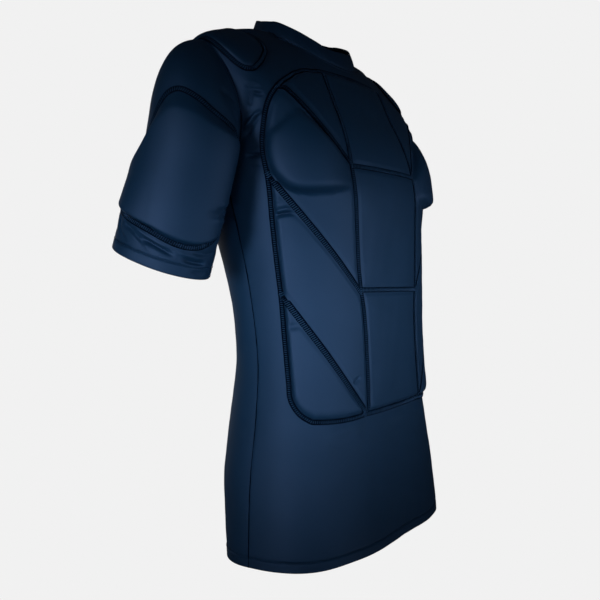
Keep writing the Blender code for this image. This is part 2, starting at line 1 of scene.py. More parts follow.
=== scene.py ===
# Padded compression shirt, dressed for a picture: fine cloth, seams, stitches, folds, light and camera.
# Metres, +Z up. The wearer faces -Y, and the wearer's left is +X.
import json
import bpy
import numpy as np
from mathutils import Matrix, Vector

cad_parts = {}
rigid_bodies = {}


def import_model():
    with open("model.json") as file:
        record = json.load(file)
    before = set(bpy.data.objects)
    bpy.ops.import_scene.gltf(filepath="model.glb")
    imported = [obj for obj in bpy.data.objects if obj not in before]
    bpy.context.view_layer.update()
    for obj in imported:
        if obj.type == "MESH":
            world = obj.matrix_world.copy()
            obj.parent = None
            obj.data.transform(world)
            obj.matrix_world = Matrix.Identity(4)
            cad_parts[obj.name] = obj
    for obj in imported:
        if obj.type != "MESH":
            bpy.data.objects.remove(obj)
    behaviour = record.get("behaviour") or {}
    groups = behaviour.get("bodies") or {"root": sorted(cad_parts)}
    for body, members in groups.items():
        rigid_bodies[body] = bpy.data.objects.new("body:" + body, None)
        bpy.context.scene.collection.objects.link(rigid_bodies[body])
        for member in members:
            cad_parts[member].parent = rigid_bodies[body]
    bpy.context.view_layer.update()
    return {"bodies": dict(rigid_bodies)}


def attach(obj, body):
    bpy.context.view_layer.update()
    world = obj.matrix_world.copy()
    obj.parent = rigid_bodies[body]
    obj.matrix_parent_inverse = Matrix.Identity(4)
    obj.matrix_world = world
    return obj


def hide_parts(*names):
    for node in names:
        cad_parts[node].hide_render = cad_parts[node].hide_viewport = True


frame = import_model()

# Form of the shirt, as in the solids. The slanting seams, the shoulder pads' thickness and all relief differ.

# Sections of the body, from below the hem up to the neck seam. Each is a rounded oval.
# level: height at the wearer's side
# half_width: from the middle to the side
# mid_y: where the side lies, front to back
# front_y, back_y: the front and the back of the section
# front_drop, back_drop: how far the front and the back lie under the side
# front_square, back_square: how square the oval is (2 is an ellipse)
# Columns: level, half_width, mid_y, front_y, back_y, front_drop, back_drop, front_square, back_square
BODY_SECTIONS = (
    (-0.705, 0.170, 0.000, -0.119, 0.094, -0.010, 0.000, 2.9, 2.3),
    (-0.640, 0.170, 0.000, -0.116, 0.101, -0.008, 0.000, 2.8, 2.3),
    (-0.575, 0.167, 0.000, -0.109, 0.108, -0.004, 0.000, 2.7, 2.3),
    (-0.505, 0.157, 0.000, -0.101, 0.103, 0.000, 0.000, 2.6, 2.3),
    (-0.435, 0.150, 0.002, -0.096, 0.093, 0.000, 0.000, 2.6, 2.3),
    (-0.365, 0.153, 0.008, -0.092, 0.097, 0.000, 0.000, 2.6, 2.3),
    (-0.300, 0.160, 0.017, -0.090, 0.114, 0.004, 0.000, 2.6, 2.3),
    (-0.245, 0.167, 0.027, -0.090, 0.130, 0.012, 0.004, 2.5, 2.3),
    (-0.195, 0.173, 0.036, -0.089, 0.140, 0.028, 0.010, 2.5, 2.3),
    (-0.150, 0.178, 0.042, -0.084, 0.145, 0.046, 0.022, 2.4, 2.3),
    (-0.105, 0.188, 0.046, -0.075, 0.145, 0.062, 0.034, 2.3, 2.2),
    (-0.068, 0.199, 0.048, -0.064, 0.142, 0.075, 0.036, 2.2, 2.2),
    (-0.046, 0.200, 0.049, -0.054, 0.137, 0.078, 0.026, 2.1, 2.1),
    (-0.028, 0.163, 0.048, -0.044, 0.130, 0.072, 0.010, 2.05, 2.05),
    (-0.016, 0.118, 0.046, -0.034, 0.121, 0.058, -0.006, 2.0, 2.0),
    (-0.014, 0.077, 0.0445, -0.023, 0.112, 0.036, -0.026, 2.0, 2.0),
)
DROP_POWER = 1.5

# Height of the hem, by the angle from the front middle in degrees.
# Columns: angle, height
HEM_HEIGHTS = (
    (0, -0.658),
    (15, -0.659),
    (30, -0.661),
    (45, -0.662),
    (60, -0.666),
    (75, -0.668),
    (90, -0.670),
    (120, -0.674),
    (150, -0.677),
    (180, -0.678),
)
# The wearer's left side of the hem sits this much higher at the side, and the right as much lower.
HEM_TILT = 0.0085

# Armhole: its top and bottom by level, and how far it cuts into the front and the back.
SHOULDER_TIP_LEVEL = -0.046
ARMPIT_LEVEL = -0.192
ARMHOLE_FRONT = np.radians(12.5)
ARMHOLE_BACK = np.radians(15)

# Sleeve sections under the shoulder cap, for the wearer's left arm.
# x, y, z: the middle; outer, inner, front, back: the radii
# slope: how much lower the front is than the middle, per metre; cant: the same for the outer side
# Columns: x, y, z, outer, inner, front, back, slope, cant
ARM_SECTIONS = (
    (0.216, 0.049, -0.200, 0.057, 0.042, 0.057, 0.058, 0.10, -0.30),
    (0.2265, 0.061, -0.255, 0.058, 0.047, 0.057, 0.058, 0.25, -0.12),
    (0.235, 0.075, -0.311, 0.055, 0.052, 0.055, 0.055, 0.38, -0.05),
)
CAP_SHARE = 0.55

# The direction in which the sleeve leaves the armhole, and how strongly it keeps to it.
# Columns: side, x, y, z, reach
SLEEVE_LEAVES = (
    ("top", 1.00, 0.00, -0.14, 1.38),
    ("front", 0.72, -0.40, -0.45, 1.15),
    ("armpit", 0.45, 0.00, -0.55, 1.00),
    ("back", 0.80, 0.40, -0.45, 1.30),
)

COLLAR_HEIGHT = 0.020
COLLAR_LEAN = 0.006

# Front padding. Lines are given by the angle from the front middle (degrees) and the height.
# Columns: height, angle
PAD_OUTER_EDGE = (
    (-0.068, 42.0),
    (-0.070, 49.0),
    (-0.076, 55.5),
    (-0.087, 59.5),
    (-0.102, 63.0),
    (-0.118, 65.8),
    (-0.150, 69.0),
    (-0.175, 70.5),
    (-0.212, 70.2),
    (-0.260, 72.0),
    (-0.310, 73.5),
    (-0.350, 74.0),
    (-0.415, 74.5),
    (-0.455, 73.5),
    (-0.470, 72.8),
    (-0.480, 70.8),
    (-0.489, 67.5),
    (-0.496, 63.0),
)
# Columns: height, angle
CENTRE_SEAM = (
    (-0.066, 41.0),
    (-0.085, 38.5),
    (-0.105, 35.5),
    (-0.125, 33.5),
    (-0.150, 32.0),
    (-0.175, 31.5),
    (-0.194, 31.5),
    (-0.235, 32.0),
    (-0.275, 33.5),
    (-0.320, 34.5),
    (-0.345, 34.0),
    (-0.365, 33.0),
    (-0.430, 32.5),
    (-0.500, 33.0),
)
PAD_TOP = -0.067
PAD_BOTTOM = -0.494
# The rounded corners of the padding: heights on its outer edge.
TOP_CORNER_START = -0.0685
TOP_CORNER_END = -0.081
BASE_CORNER_START = -0.474
BASE_CORNER_END = -0.4955
# How far the lower edge hangs under the straight line in the middle of each side.
BASE_BOW = 0.002
# The padding leans with the hem: by this much at the side, coming in over this run under this height.
PAD_TILT = 0.006
PAD_TILT_FROM = -0.42
PAD_TILT_RUN = 0.08
UPPER_CROSS_SEAM = -0.194
LOWER_CROSS_SEAM = -0.3445
# The three slanting seams run from the outer edge down to the centre seam.
# start, end: heights; bow: how far the middle hangs under the straight line
# Columns: name, start, end, bow
SLANT_SEAMS = (
    ("first", -0.1000, -0.1905, -0.0030),
    ("second", -0.2015, -0.3465, 0.0120),
    ("third", -0.3440, -0.4940, 0.0115),
)
# A pad starts this much under the seam above it. The seam's middle lies halfway between.
SLANT_SHIFT = 0.0036

# Metres on the cloth for one degree and for one unit of the second value, for each kind of pad.
FRONT_SCALE = (0.0024, 1.0)
SHOULDER_SCALE = (0.0030, 0.126)
SLEEVE_SCALE = (0.00105, 0.26)

# Half of the shoulder pad's outline, by the angle from the side seam's line (degrees).
# near_tip, near_neck: share of the way from the shoulder tip to the neck
# Columns: angle, near_tip, near_neck
SHOULDER_PAD_EDGES = (
    (0.0, 0.035, 0.475),
    (4.0, 0.020, 0.482),
    (7.5, -0.025, 0.490),
    (11.0, -0.085, 0.488),
    (14.5, -0.135, 0.465),
    (17.5, -0.110, 0.405),
    (19.5, 0.015, 0.285),
    (20.0, 0.120, 0.180),
)

# Sleeve pad: its upper and lower edge by the angle round the arm from the outer side (degrees).
# upper, lower: share of the way from the armhole to the cuff
# Columns: angle, upper, lower
SLEEVE_PAD_EDGES = (
    (-100, 0.535, 0.765),
    (-80, 0.560, 0.775),
    (-60, 0.580, 0.785),
    (-40, 0.560, 0.795),
    (-20, 0.495, 0.825),
    (0, 0.385, 0.843),
    (20, 0.325, 0.856),
    (40, 0.312, 0.872),
    (60, 0.315, 0.880),
    (80, 0.295, 0.868),
    (95, 0.275, 0.835),
    (108, 0.300, 0.790),
)

# Metres for one degree and for one millimetre, in the tables of folds on the body and the front padding.
FOLD_SCALE = (FRONT_SCALE[0], 0.001)

# Points along each side of a front pad, the same for the waist's pads with their crease, and points on a line
PAD_POINTS = 52
FINE_PAD_POINTS = 106
LINE_POINTS = 200
# Rows and columns of the grids, and how long the pads are on the flat cloth
SHOULDER_PAD_GRID = (40, 56)
SHOULDER_PAD_LONG = 0.06
SLEEVE_PAD_GRID = (64, 150)
SLEEVE_PAD_LONG = 0.13

# Cloth and padding. Lifts and heights are over the face of the cloth.
CLOTH = 0.0016
SLEEVE_GAP = 0.0006
PAD_LIFT = 0.0005
PAD_MARGIN = 0.0014
PAD_EDGE = 0.0006
PAD_THICK = 0.0074
LEAST_THICK = 0.0003
SEAM_LEVEL = 0.0060
# The face rises from the seams by this share over the first width, and by the rest over the second.
PAD_FIRM = 0.75
PAD_ROUND = 0.0045
PAD_SWELL = 0.030
# Half the width of the flat floor that a seam lies on, and how far from it folds reach their full height.
SEAM_FLOOR = 0.0034
PAD_RELIEF_EDGE = 0.0035
OUTLINE_ROUND = 0.0060
# The padding's lower outer corner (angle, height) slopes more gently, up to this much wider, within this reach.
BASE_SOFT_PLACE = (58.0, -0.492)
BASE_SOFT = 1.3
BASE_SOFT_REACH = 0.034
CHEST_ROUND = 0.012
SHOULDER_PAD_THICK = 0.0038
SHOULDER_PAD_ROUND = 0.0075
# The sleeve pad slopes up from its upper edge over a run with a soft corner, and ends round below and behind.
SLEEVE_PAD_THICK = 0.0092
SLEEVE_SLOPE = 0.0175
SLEEVE_CORNER = 0.05
SLEEVE_LOWER_ROUND = 0.0038
SLEEVE_END_ROUND = 0.022
# It thins by this share behind the arm, from this turn (degrees) over this run, near its lower edge.
SLEEVE_THIN = 0.88
SLEEVE_THIN_FROM = -12.0
SLEEVE_THIN_RUN = 45.0
SLEEVE_THIN_REACH = 0.075
SLEEVE_RELIEF_EDGE = 0.006
# The cuff stands away from the arm by this much at this turn (degrees), less to each side,
# and from this share of the sleeve's length over this run.
CUFF_FLARE = 0.0055
CUFF_FLARE_TURN = -62.0
CUFF_FLARE_SIDE = 75.0
CUFF_FLARE_FROM = 0.58
CUFF_FLARE_RUN = 0.28
# Degrees round the arm are counted up from this turn.
TURN_START = -130.0

# Seams: a flat band with ladder stitches across it. Places of the stitches at the edges: metres up from the
# hem, and shares of the way along the sleeve and the body.
SEAM_LIFT = 0.0007
BAND_PITCH = 0.0030
HEM_STITCH_UP = 0.0125
CUFF_STITCH_SHARE = 0.952
NECK_STITCH_PLACE = 1 - 0.006
# Kinds of stitch. Columns: pitch, thickness, height, lift, whether it lies along the line
LADDER_STITCH = (0.0026, 0.0012, 0.0004, SEAM_LIFT, False)
CUFF_STITCH = (0.0032, 0.0008, 0.0005, 0.0, True)
HEM_STITCH = (0.0032, 0.0008, 0.0005, -0.0001, True)
NECK_STITCH = (0.0030, 0.0007, 0.0004, 0.0002, True)
HEM_STITCH_LONG = 0.0026
NECK_STITCH_LONG = 0.0024

# Seams of one half of the front padding.
# Columns: name, length of the stitches and half the width of the band, each at its start and its end,
# and how far down the stitches lie
FRONT_SEAMS = (
    ("outline", (0.0034, 0.0034), (0.0034, 0.0034), 0.0),
    ("centre", (0.0042, 0.0042), (0.0033, 0.0033), 0.0),
    ("first", (0.0026, 0.0026), (0.0032, 0.0030), 0.0),
    ("second", (0.0064, 0.0048), (0.0044, 0.0036), 0.0011),
    ("third", (0.0068, 0.0050), (0.0046, 0.0037), 0.0011),
)
# Seams across the middle. Columns: height, length of the stitches
CROSS_SEAMS = ((PAD_TOP, 0.0046), (UPPER_CROSS_SEAM, 0.0048), (LOWER_CROSS_SEAM, 0.0048), (PAD_BOTTOM, 0.0046))
CROSS_HALF = 0.0034
SIDE_SEAM_HALF = 0.0004
# Seams of a sleeve and its shoulder. Columns: name, length of the stitches, half the width of the band, lift
SLEEVE_SEAMS = (
    ("sleeve padding", 0.0048, 0.0036, PAD_LIFT + PAD_EDGE),
    ("shoulder padding", 0.0046, 0.0034, PAD_LIFT + PAD_EDGE),
    ("armhole", 0.0034, 0.0022, 0.0),
)
# How many points lie on the lines of the seams
CROSS_POINTS = 120
RING_POINTS = 300
HEM_POINTS = 500
SLEEVE_SEAM_POINTS = (240, 40)
SHOULDER_SEAM_POINTS = (160, 12)

# Chest pads stand out further. Their foot is a closed line, by the angle from the middle (degrees) and height.
CHEST_PEAK_ANGLE = 52.0
CHEST_PEAK_HEIGHT = -0.194
CHEST_RISE = 0.0165
CHEST_UP = 0.076
CHEST_SPREAD_IN = 23.0
CHEST_SPREAD_OUT = 30.0
CHEST_UP_POWER = 1.4
CHEST_SIDE_POWER = 1.5
# Columns: angle, height
CHEST_FOOT = (
    (54.5, -0.1310),
    (62.5, -0.1475),
    (67.3, -0.1610),
    (69.2, -0.1780),
    (69.2, -0.1950),
    (67.4, -0.2110),
    (64.0, -0.2235),
    (59.0, -0.2290),
    (50.5, -0.2285),
    (42.0, -0.2260),
    (33.0, -0.2230),
    (25.0, -0.2170),
    (29.0, -0.2000),
    (36.0, -0.1840),
    (45.0, -0.1590),
)
STEP_ROUND = 0.0086

# Folds of the body's cloth, as soft ridges (depth over 0) and troughs (under 0).
# angle0, height0, angle1, height1: where it starts and ends, in degrees from the front middle and millimetres
# depth, width: millimetres; bend: how far the middle is off the straight line, millimetres
# Columns: angle0, height0, angle1, height1, depth, width, bend
BODY_FOLDS = (
    # wearer's right, beside the armhole
    (-76.8, -156, -68.6, -130.5, 6, 1.7, 1.7),
    (-76.4, -161, -69.2, -134.5, -6, 1.5, 1.5),
    (-73, -106, -73.6, -127, -3.6, 2.4, 0.4),
    (-77.2, -150, -71.5, -115, -2.8, 4.5, 1),
    (-79.5, -170, -72, -148, -1.4, 4, 1.5),
    (-78, -183.6, -70, -184.2, -6.8, 1.5, 0.8),
    (-78, -180, -70.5, -180.2, 1.2, 2.2, 0.8),
    (-78, -199, -71, -198.5, -1.4, 2, 0.6),
    (-79, -206, -72, -204.5, -1, 2, -0.5),
    (-74.5, -104.8, -68.6, -104.5, -3.8, 1.4, 0.6),
    (-74, -101, -69.2, -100.5, 1.2, 2, 0.6),
    (-72, -110, -67.4, -114, -4.4, 1.4, -0.6),
    (-71, -106.5, -67.2, -109.5, 1.4, 1.8, 0),
    (-73.5, -120, -69.5, -110, -2.6, 2.4, 0.4),
    (-96, -225, -84, -236, -1.8, 4, 2),
    (-100, -242, -86, -270, -1.3, 5, 3),
    # wearer's left, beside the armhole
    (77.4, -154, 68.8, -129, 4.4, 1.8, 2),
    (77, -159, 69.4, -132.5, -3.6, 1.5, 1.8),
    (77.4, -148, 71, -114, -2.2, 4.2, 1),
    (78.4, -179.5, 70.4, -177, -3.6, 1.4, -0.8),
    (78.6, -194, 71.5, -198, -1.4, 2.2, 0.8),
    (74.8, -108.5, 68.4, -105, -2.4, 1.5, 0.6),
    (72.5, -115, 68, -119.5, -1.8, 1.6, 0.5),
    (97, -230, 85, -238, -1.8, 4.2, 2),
    (101, -250, 87, -268, -1.3, 5, 2),
    # over the shoulders, between the neck and the shoulder pads
    (-85, -8, -84, -30, 4, 11, 0),
    (85, -8, 83.5, -29, 3.4, 11, 0),
    # back, beside the armholes and across the shoulder blades
    (-106, -160, -126, -138, -2.2, 6, 4),
    (-106, -172, -130, -160, 1.8, 6.5, 4),
    (-104, -188, -122, -196, -2, 5.5, 3),
    (-105, -118, -120, -96, -1.3, 5, 2),
    (106, -164, 129, -143, -2, 6, 5),
    (105, -179, 124, -177, 1.5, 6, 3),
    (104, -193, 125, -205, -2.2, 5.5, 3),
    (106, -124, 118, -102, -1.2, 5, 2),
    # small of the back, where the cloth gathers a little
    (-158, -390, 158, -398, -2.2, 7.5, 6),
    (-150, -408, 172, -415, 1.6, 7, 4),
    (-166, -427, 150, -424, -1.9, 7, -5),
    (-140, -444, -172, -452, -1.3, 7, 5),
    (140, -448, 176, -460, -1.2, 6.5, 5),
    (-128, -370, -152, -386, -1.2, 6, 4),
    (126, -378, 150, -372, -1.2, 6.5, -3),
    # waist, at the side seams
    (-104, -418, -86, -406, -0.9, 5.5, 2),
    (-100, -442, -82, -434, -0.7, 5, 2),
    (-100, -512, -87, -490, -1, 5.5, 2),
    (103, -426, 86, -413, -0.9, 5.5, 2),
    (99, -460, 84, -451, -0.7, 5, 2),
    # under the padding
    (-60, -518, -33, -502, 2.5, 6.5, -2),
    (-57, -529, -40, -516, -1.4, 6.5, -2),
    (52, -517, 30, -504, 2, 6, -2),
    (14, -508, -8, -506, 1.1, 5, 1),
    # neck and shoulders
    (-34, -50, -52, -64, -0.9, 5, 3),
    (30, -50, 50, -62, -0.8, 5, 3),
    (-150, -48, -120, -56, -1.2, 6, 5),
    (152, -50, 124, -60, -1.1, 6, 5),
    (-168, -70, 166, -72, -1, 6.5, 4),
    # over the hips, long and faint
    (-118, -530, -98, -650, -1.1, 12, 6),
    (-140, -520, -134, -660, 1.2, 13, 8),
    (122, -540, 104, -650, -1.1, 12, 6),
    (150, -520, 160, -650, -1.2, 14, 8),
    (-176, -510, 172, -640, 1.2, 13, 8),
    (-24, -550, -30, -630, -0.7, 12, 5),
    (38, -540, 46, -630, -0.8, 12, 5),
)

# The front takes folds up to the first angle, the back those from the second.
FRONT_FOLDS_TO = 125
BACK_FOLDS_FROM = 75

# Folds of the front padding's cloth, in the same way.
PAD_FOLDS = (
    (-72.4, -257, -58.6, -250, -5.6, 1.8, 0.8),
    (-72, -260, -59, -253, -2.2, 5, 0.8),
    (-71.6, -252.7, -58.4, -245.7, 2.8, 2.6, 0.8),
    (-71, -261, -61, -256.5, 1.6, 3.4, 1),
    (-71.6, -230, -60, -240, -1.2, 2.6, 1),
    (-71.5, -240, -64, -242.5, -1.2, 1.8, -0.8),
    (-71.5, -247, -65.5, -245, -0.7, 1.8, 0.6),
    (-72, -389, -66, -383.5, -4.2, 2.2, 0.8),
    (-43.5, -457, -38.5, -449, -2.6, 1.7, 0.6),
    (70.8, -258.5, 61.6, -253, -5.8, 2.4, 0.6),
    (71.2, -263, 63, -258, 1.2, 3.4, 1),
    (71.6, -243, 65, -245, -1.1, 1.9, 0.8),
    (71.5, -396, 67, -390, -2.8, 1.8, 0.8),
    (43, -452, 38.5, -446, -2.2, 1.7, 0.6),
    (-35.5, -200, -47, -208, -0.6, 5, 1),
    (60, -295, 68, -290, -1, 3, 1),
)

# Folds of the sleeves and of their padding. turn: degrees round the arm; share: of the sleeve's length;
# depth, width and bend: millimetres
# Columns: side, turn0, share0, turn1, share1, depth, width, bend
SLEEVE_FOLDS = (
    # cuffs
    ("R", -34, 0.826, -6, 0.938, -4.6, 2, 5),
    ("R", -19.5, 0.858, 22, 0.934, -4.9, 1.9, -1.5),
    ("R", 8, 0.896, 54, 0.93, -5.4, 2.4, -1.3),
    ("R", 61, 0.931, 98, 0.934, -4.9, 2, 0.8),
    ("R", -9, 0.874, 28, 0.936, 2.4, 2.4, 1),
    ("R", -4, 0.846, 50, 0.906, 2.7, 2.4, 3.3),
    ("R", -26, 0.862, -10, 0.93, 2.2, 2.4, 3),
    ("R", -32, 0.958, 6, 0.944, -1.6, 1.5, 0.6),
    ("R", 76, 0.974, 100, 0.972, -1.6, 1.5, 0.3),
    ("R", 50, 0.905, 92, 0.914, 1.9, 2.2, 0.8),
    ("R", 70, 0.897, 112, 0.884, -2.4, 2.2, 1),
    ("R", -52, 0.838, -38, 0.93, -4.1, 2.6, 3),
    ("R", -80, 0.846, -56, 0.916, -3.5, 2.8, 3),
    ("R", 118, 0.85, 160, 0.9, -3.5, 3.4, 2),
    ("L", 26, 0.866, -14, 0.936, -4.6, 2, 1.5),
    ("L", -4, 0.846, -30, 0.93, -4.6, 2.2, 4),
    ("L", 90, 0.884, 44, 0.92, -4.9, 2.2, 1),
    ("L", 72, 0.868, 22, 0.902, 2.4, 2.6, 2),
    ("L", 60, 0.936, 96, 0.93, -3.2, 2, 0.8),
    ("L", -44, 0.842, -62, 0.922, -3.8, 2.8, 2),
    ("L", 108, 0.86, 150, 0.91, -3.5, 3.4, 2),
    # under the arm
    ("R", 150, 0.12, 205, 0.2, -3.8, 5, 4),
    ("R", 140, 0.24, 215, 0.3, -3.2, 5.5, -3),
    ("R", 160, 0.4, 225, 0.42, -2.6, 5.5, 4),
    ("R", 128, 0.52, 180, 0.56, -2.6, 5, 3),
    ("L", 146, 0.14, 210, 0.18, -3.8, 5, 4),
    ("L", 138, 0.25, 200, 0.33, -3.2, 5.5, -3),
    ("L", 158, 0.42, 220, 0.4, -2.6, 5.5, 4),
    # behind and before the shoulder
    ("R", 84, 0.06, 60, 0.18, -1.9, 4.5, 2),
    ("R", 100, 0.09, 84, 0.2, -2.2, 4.5, 2),
    ("R", -84, 0.05, -66, 0.2, -2.2, 5.5, 2),
    ("R", -104, 0.08, -92, 0.26, -2.6, 5.5, 3),
    ("L", 82, 0.06, 62, 0.17, -1.9, 4.5, 2),
    ("L", 102, 0.08, 88, 0.21, -2.2, 4.5, 2),
    ("L", -86, 0.06, -70, 0.21, -2.2, 5.5, 2),
    ("L", -106, 0.07, -96, 0.24, -2.6, 5.5, 3),
)
SLEEVE_PAD_FOLDS = (
    ("R", 82, 0.719, 108, 0.685, -4.8, 1.8, 1),
    ("R", 84, 0.704, 107, 0.668, 1.8, 2.8, 1),
    ("R", 72, 0.745, 107, 0.73, -4.2, 1.6, -0.8),
    ("R", 80, 0.758, 106, 0.748, 1.4, 2.6, 0.5),
    ("R", -92, 0.66, -70, 0.69, -3, 2.4, 1),
    ("R", -96, 0.7, -76, 0.722, -2.4, 2.2, 1),
    ("L", 82, 0.728, 108, 0.694, -4.4, 1.8, 1),
    ("L", 76, 0.694, 105, 0.666, -2.8, 2, 1),
    ("L", 82, 0.712, 107, 0.678, 1.4, 2.8, 1),
    ("L", -94, 0.67, -72, 0.7, -3, 2.4, 1),
)

# Colours, linear
CLOTH_COLOUR = (0.0012, 0.0205, 0.0560)
CLOTH_SHINE = (0.29, 0.47, 0.94)
# Painted shade: the seam bands are the same cloth, made much darker to stand in for the shade in the grooves
# between the pads
SEAM_SHADE_COLOUR = (0.0004, 0.0032, 0.0096)
THREAD_COLOUR = (0.0036, 0.0270, 0.0700)

# Materials. Columns: name, colour, roughness, shine, how strongly the knit shows, how mottled it is
MATERIALS = (
    ("navy_knit", CLOTH_COLOUR, 0.62, 0.9, 0.25, 0.07),
    ("navy_knit_over_foam", CLOTH_COLOUR, 0.60, 0.9, 0.20, 0.06),
    # The seam band material carries that painted shade: dark and almost without shine
    ("seam_band", SEAM_SHADE_COLOUR, 0.85, 0.04, 0.5, 0.15),
    ("stitch_thread", THREAD_COLOUR, 0.6, 0.8, 0.0, 0.2),
)

# Lights. Columns: name, azimuth (degrees from the wearer's front to the wearer's left), height, distance,
# size, spread (degrees), height that it looks at, power, colour
SMALL_LIGHT = (0.45, 0.25)
WHITE = (1.0, 1.0, 1.0)
LIGHTS = (
    ("front_0", -87.0, -0.24, 1.8, SMALL_LIGHT, 24.0, -0.27, 0.25, WHITE),
    ("front_1", -96.0, -0.62, 1.8, SMALL_LIGHT, 24.0, -0.52, 0.14, WHITE),
    ("front_2", -60.0, -0.56, 1.8, SMALL_LIGHT, 18.0, -0.39, 0.145, WHITE),
    ("front_3", -22.0, -0.60, 1.8, SMALL_LIGHT, 18.0, -0.39, 0.135, WHITE),
    ("front_4", 14.0, -0.44, 1.8, SMALL_LIGHT, 21.0, -0.30, 0.17, WHITE),
    ("front_5", 8.0, -1.20, 0.8, SMALL_LIGHT, 44.0, -0.54, 0.05, WHITE),
    ("front_6", 125.0, -0.40, 1.8, SMALL_LIGHT, 24.0, -0.36, 0.26, WHITE),
    ("behind", 165.0, -0.10, 2.4, (1.6, 1.6), 180.0, -0.34, 3.4, (0.95, 0.98, 1.0)),
)
LIGHTS_LOOK_AT_Y = 0.02
WORLD_COLOUR = (0.85, 0.92, 1.0)
WORLD_STRENGTH = 0.022

# Backdrop: a floor that sweeps up into a wall
BACKDROP_RADIUS = 7.0
BACKDROP_BEND = 1.5
# Columns: share of the radius, height
BACKDROP_TOP = ((1.0, 7.0), (0.6, 9.0), (0.0, 9.5))
FLOOR_LEVEL = -1.25
PALE = (0.8796, 0.8796, 0.8796)

# Camera: where it stands, which way it looks (degrees from the wearer's back towards the wearer's left, then
# how far it looks aside and down, per metre ahead) and how much it sees
CAMERA_PLACE = (-0.901, -0.631, -0.332)
CAMERA_TURN = 55.0
CAMERA_ASIDE = -0.0372
CAMERA_DOWN = -0.0248
LENS = 48.42
SENSOR = 36.0


def unit(vectors):
    """The same directions, one long."""
    return vectors / np.linalg.norm(vectors, axis=-1, keepdims=True)


def lengths_along(line):
    """How far each point lies along a line."""
    return np.concatenate([[0], np.cumsum(np.linalg.norm(np.diff(line, axis=0), axis=-1))])


def curve_between(t, start, leaving, end, arriving):
    """Smooth curve from start to end, with its directions there. t: 0 to 1."""
    return ((2 * t**3 - 3 * t**2 + 1) * start + (t**3 - 2 * t**2 + t) * leaving
            + (3 * t**2 - 2 * t**3) * end + (t**3 - t**2) * arriving)


def smooth_table(knots, table, at):
    """Smooth curve through the rows of a table, which lie at the knots."""
    table = np.asarray(table, float)
    knots = np.asarray(knots, float)
    step = np.diff(knots)
    slope = np.diff(table, axis=0) / step[:, None]
    tangent = np.empty_like(table)
    weighed = slope[:-1] * step[1:, None] + slope[1:] * step[:-1, None]
    tangent[1:-1] = weighed / (step[:-1] + step[1:])[:, None]
    tangent[0] = slope[0]
    tangent[-1] = slope[-1]
    at = np.clip(at, knots[0], knots[-1])
    row = np.clip(np.searchsorted(knots, at, side="right") - 1, 0, len(knots) - 2)
    width = step[row][..., None]
    t = (at - knots[row])[..., None] / width
    return curve_between(t, table[row], width * tangent[row], table[row + 1], width * tangent[row + 1])


def table_at(table, at):
    """Values of a table at places given like its first column."""
    rows = np.array(sorted(table), float)
    return smooth_table(rows[:, 0], rows[:, 1:], np.asarray(at, float))


def body_knots():
    """Where each section lies along the body, from 0 at the lowest to 1 at the neck."""
    rows = np.array(BODY_SECTIONS)
    side = np.hypot(np.diff(rows[:, 0]), 0.6 * np.diff(rows[:, 1]))
    front = np.hypot(np.diff(rows[:, 0] - rows[:, 5]), np.diff(rows[:, 3]))
    length = np.concatenate([[0], np.cumsum((side + front) / 2)])
    return length / length[-1]


BODY_KNOTS = body_knots()


def body(angle, along):
    """Point of the body's outer face. angle: 0 at the front middle, 90 degrees at the left side."""
    angle, along = np.broadcast_arrays(np.asarray(angle, float), np.asarray(along, float))
    values = smooth_table(BODY_KNOTS, BODY_SECTIONS, along)
    level, half, mid, front_y, back_y, front_drop, back_drop, front_sq, back_sq = np.moveaxis(values, -1, 0)
    side = np.sin(angle)
    ahead = np.cos(angle)
    front = ahead > 0
    depth = np.where(front, mid - front_y, back_y - mid)
    square = np.where(front, front_sq, back_sq)
    radius = (np.abs(side / half) ** square + np.abs(ahead / depth) ** square) ** (-1 / square)
    share = np.clip(np.abs(radius * ahead) / depth, 0, 1)
    height = level - np.where(front, front_drop, back_drop) * share**DROP_POWER
    return np.stack([radius * side, mid - radius * ahead, height], -1)


def body_normal(angle, along):
    """Outward direction of the body's face."""
    small = 1e-4
    low = np.clip(np.asarray(along) - small, 0, 1)
    high = np.clip(np.asarray(along) + small, 0, 1)
    around = body(np.asarray(angle) + small, along) - body(np.asarray(angle) - small, along)
    upward = body(angle, high) - body(angle, low)
    normal = np.cross(around, upward)
    return unit(normal)


def along_at(angle, height):
    """How far along the body the face has this height at this angle."""
    angle, height = np.broadcast_arrays(np.asarray(angle, float), np.asarray(height, float))
    low = np.zeros(angle.shape)
    high = np.ones(angle.shape)
    for _ in range(30):
        middle = (low + high) / 2
        under = body(angle, middle)[..., 2] < height
        low = np.where(under, middle, low)
        high = np.where(under, high, middle)
    return (low + high) / 2


TIP = float(along_at(np.pi / 2, SHOULDER_TIP_LEVEL))
ARMPIT = float(along_at(np.pi / 2, ARMPIT_LEVEL))


def hem_along(angle):
    """How far along the body the hem lies at this angle."""
    turn = np.abs(np.degrees(angle))
    turn = np.where(turn > 180, 360 - turn, turn)
    height = table_at(HEM_HEIGHTS, turn)[..., 0] + HEM_TILT * np.sin(angle)
    return along_at(angle, height)


def armhole(turn):
    """Angle and place along the body of the armhole. turn: 0 at the tip, 90 degrees in front."""
    along = (TIP + ARMPIT) / 2 + (TIP - ARMPIT) / 2 * np.cos(turn)
    cut = np.where(np.sin(turn) > 0, ARMHOLE_FRONT, ARMHOLE_BACK)
    return np.pi / 2 - cut * np.sin(turn), along


def panel_edge(along, cut):
    """Angle of the panel's side edge: the side seam, the armhole or the shoulder seam."""
    middle = (TIP + ARMPIT) / 2
    half = (TIP - ARMPIT) / 2
    inside = np.clip(1 - ((along - middle) / half) ** 2, 0, 1)
    return cut * np.sqrt(inside)


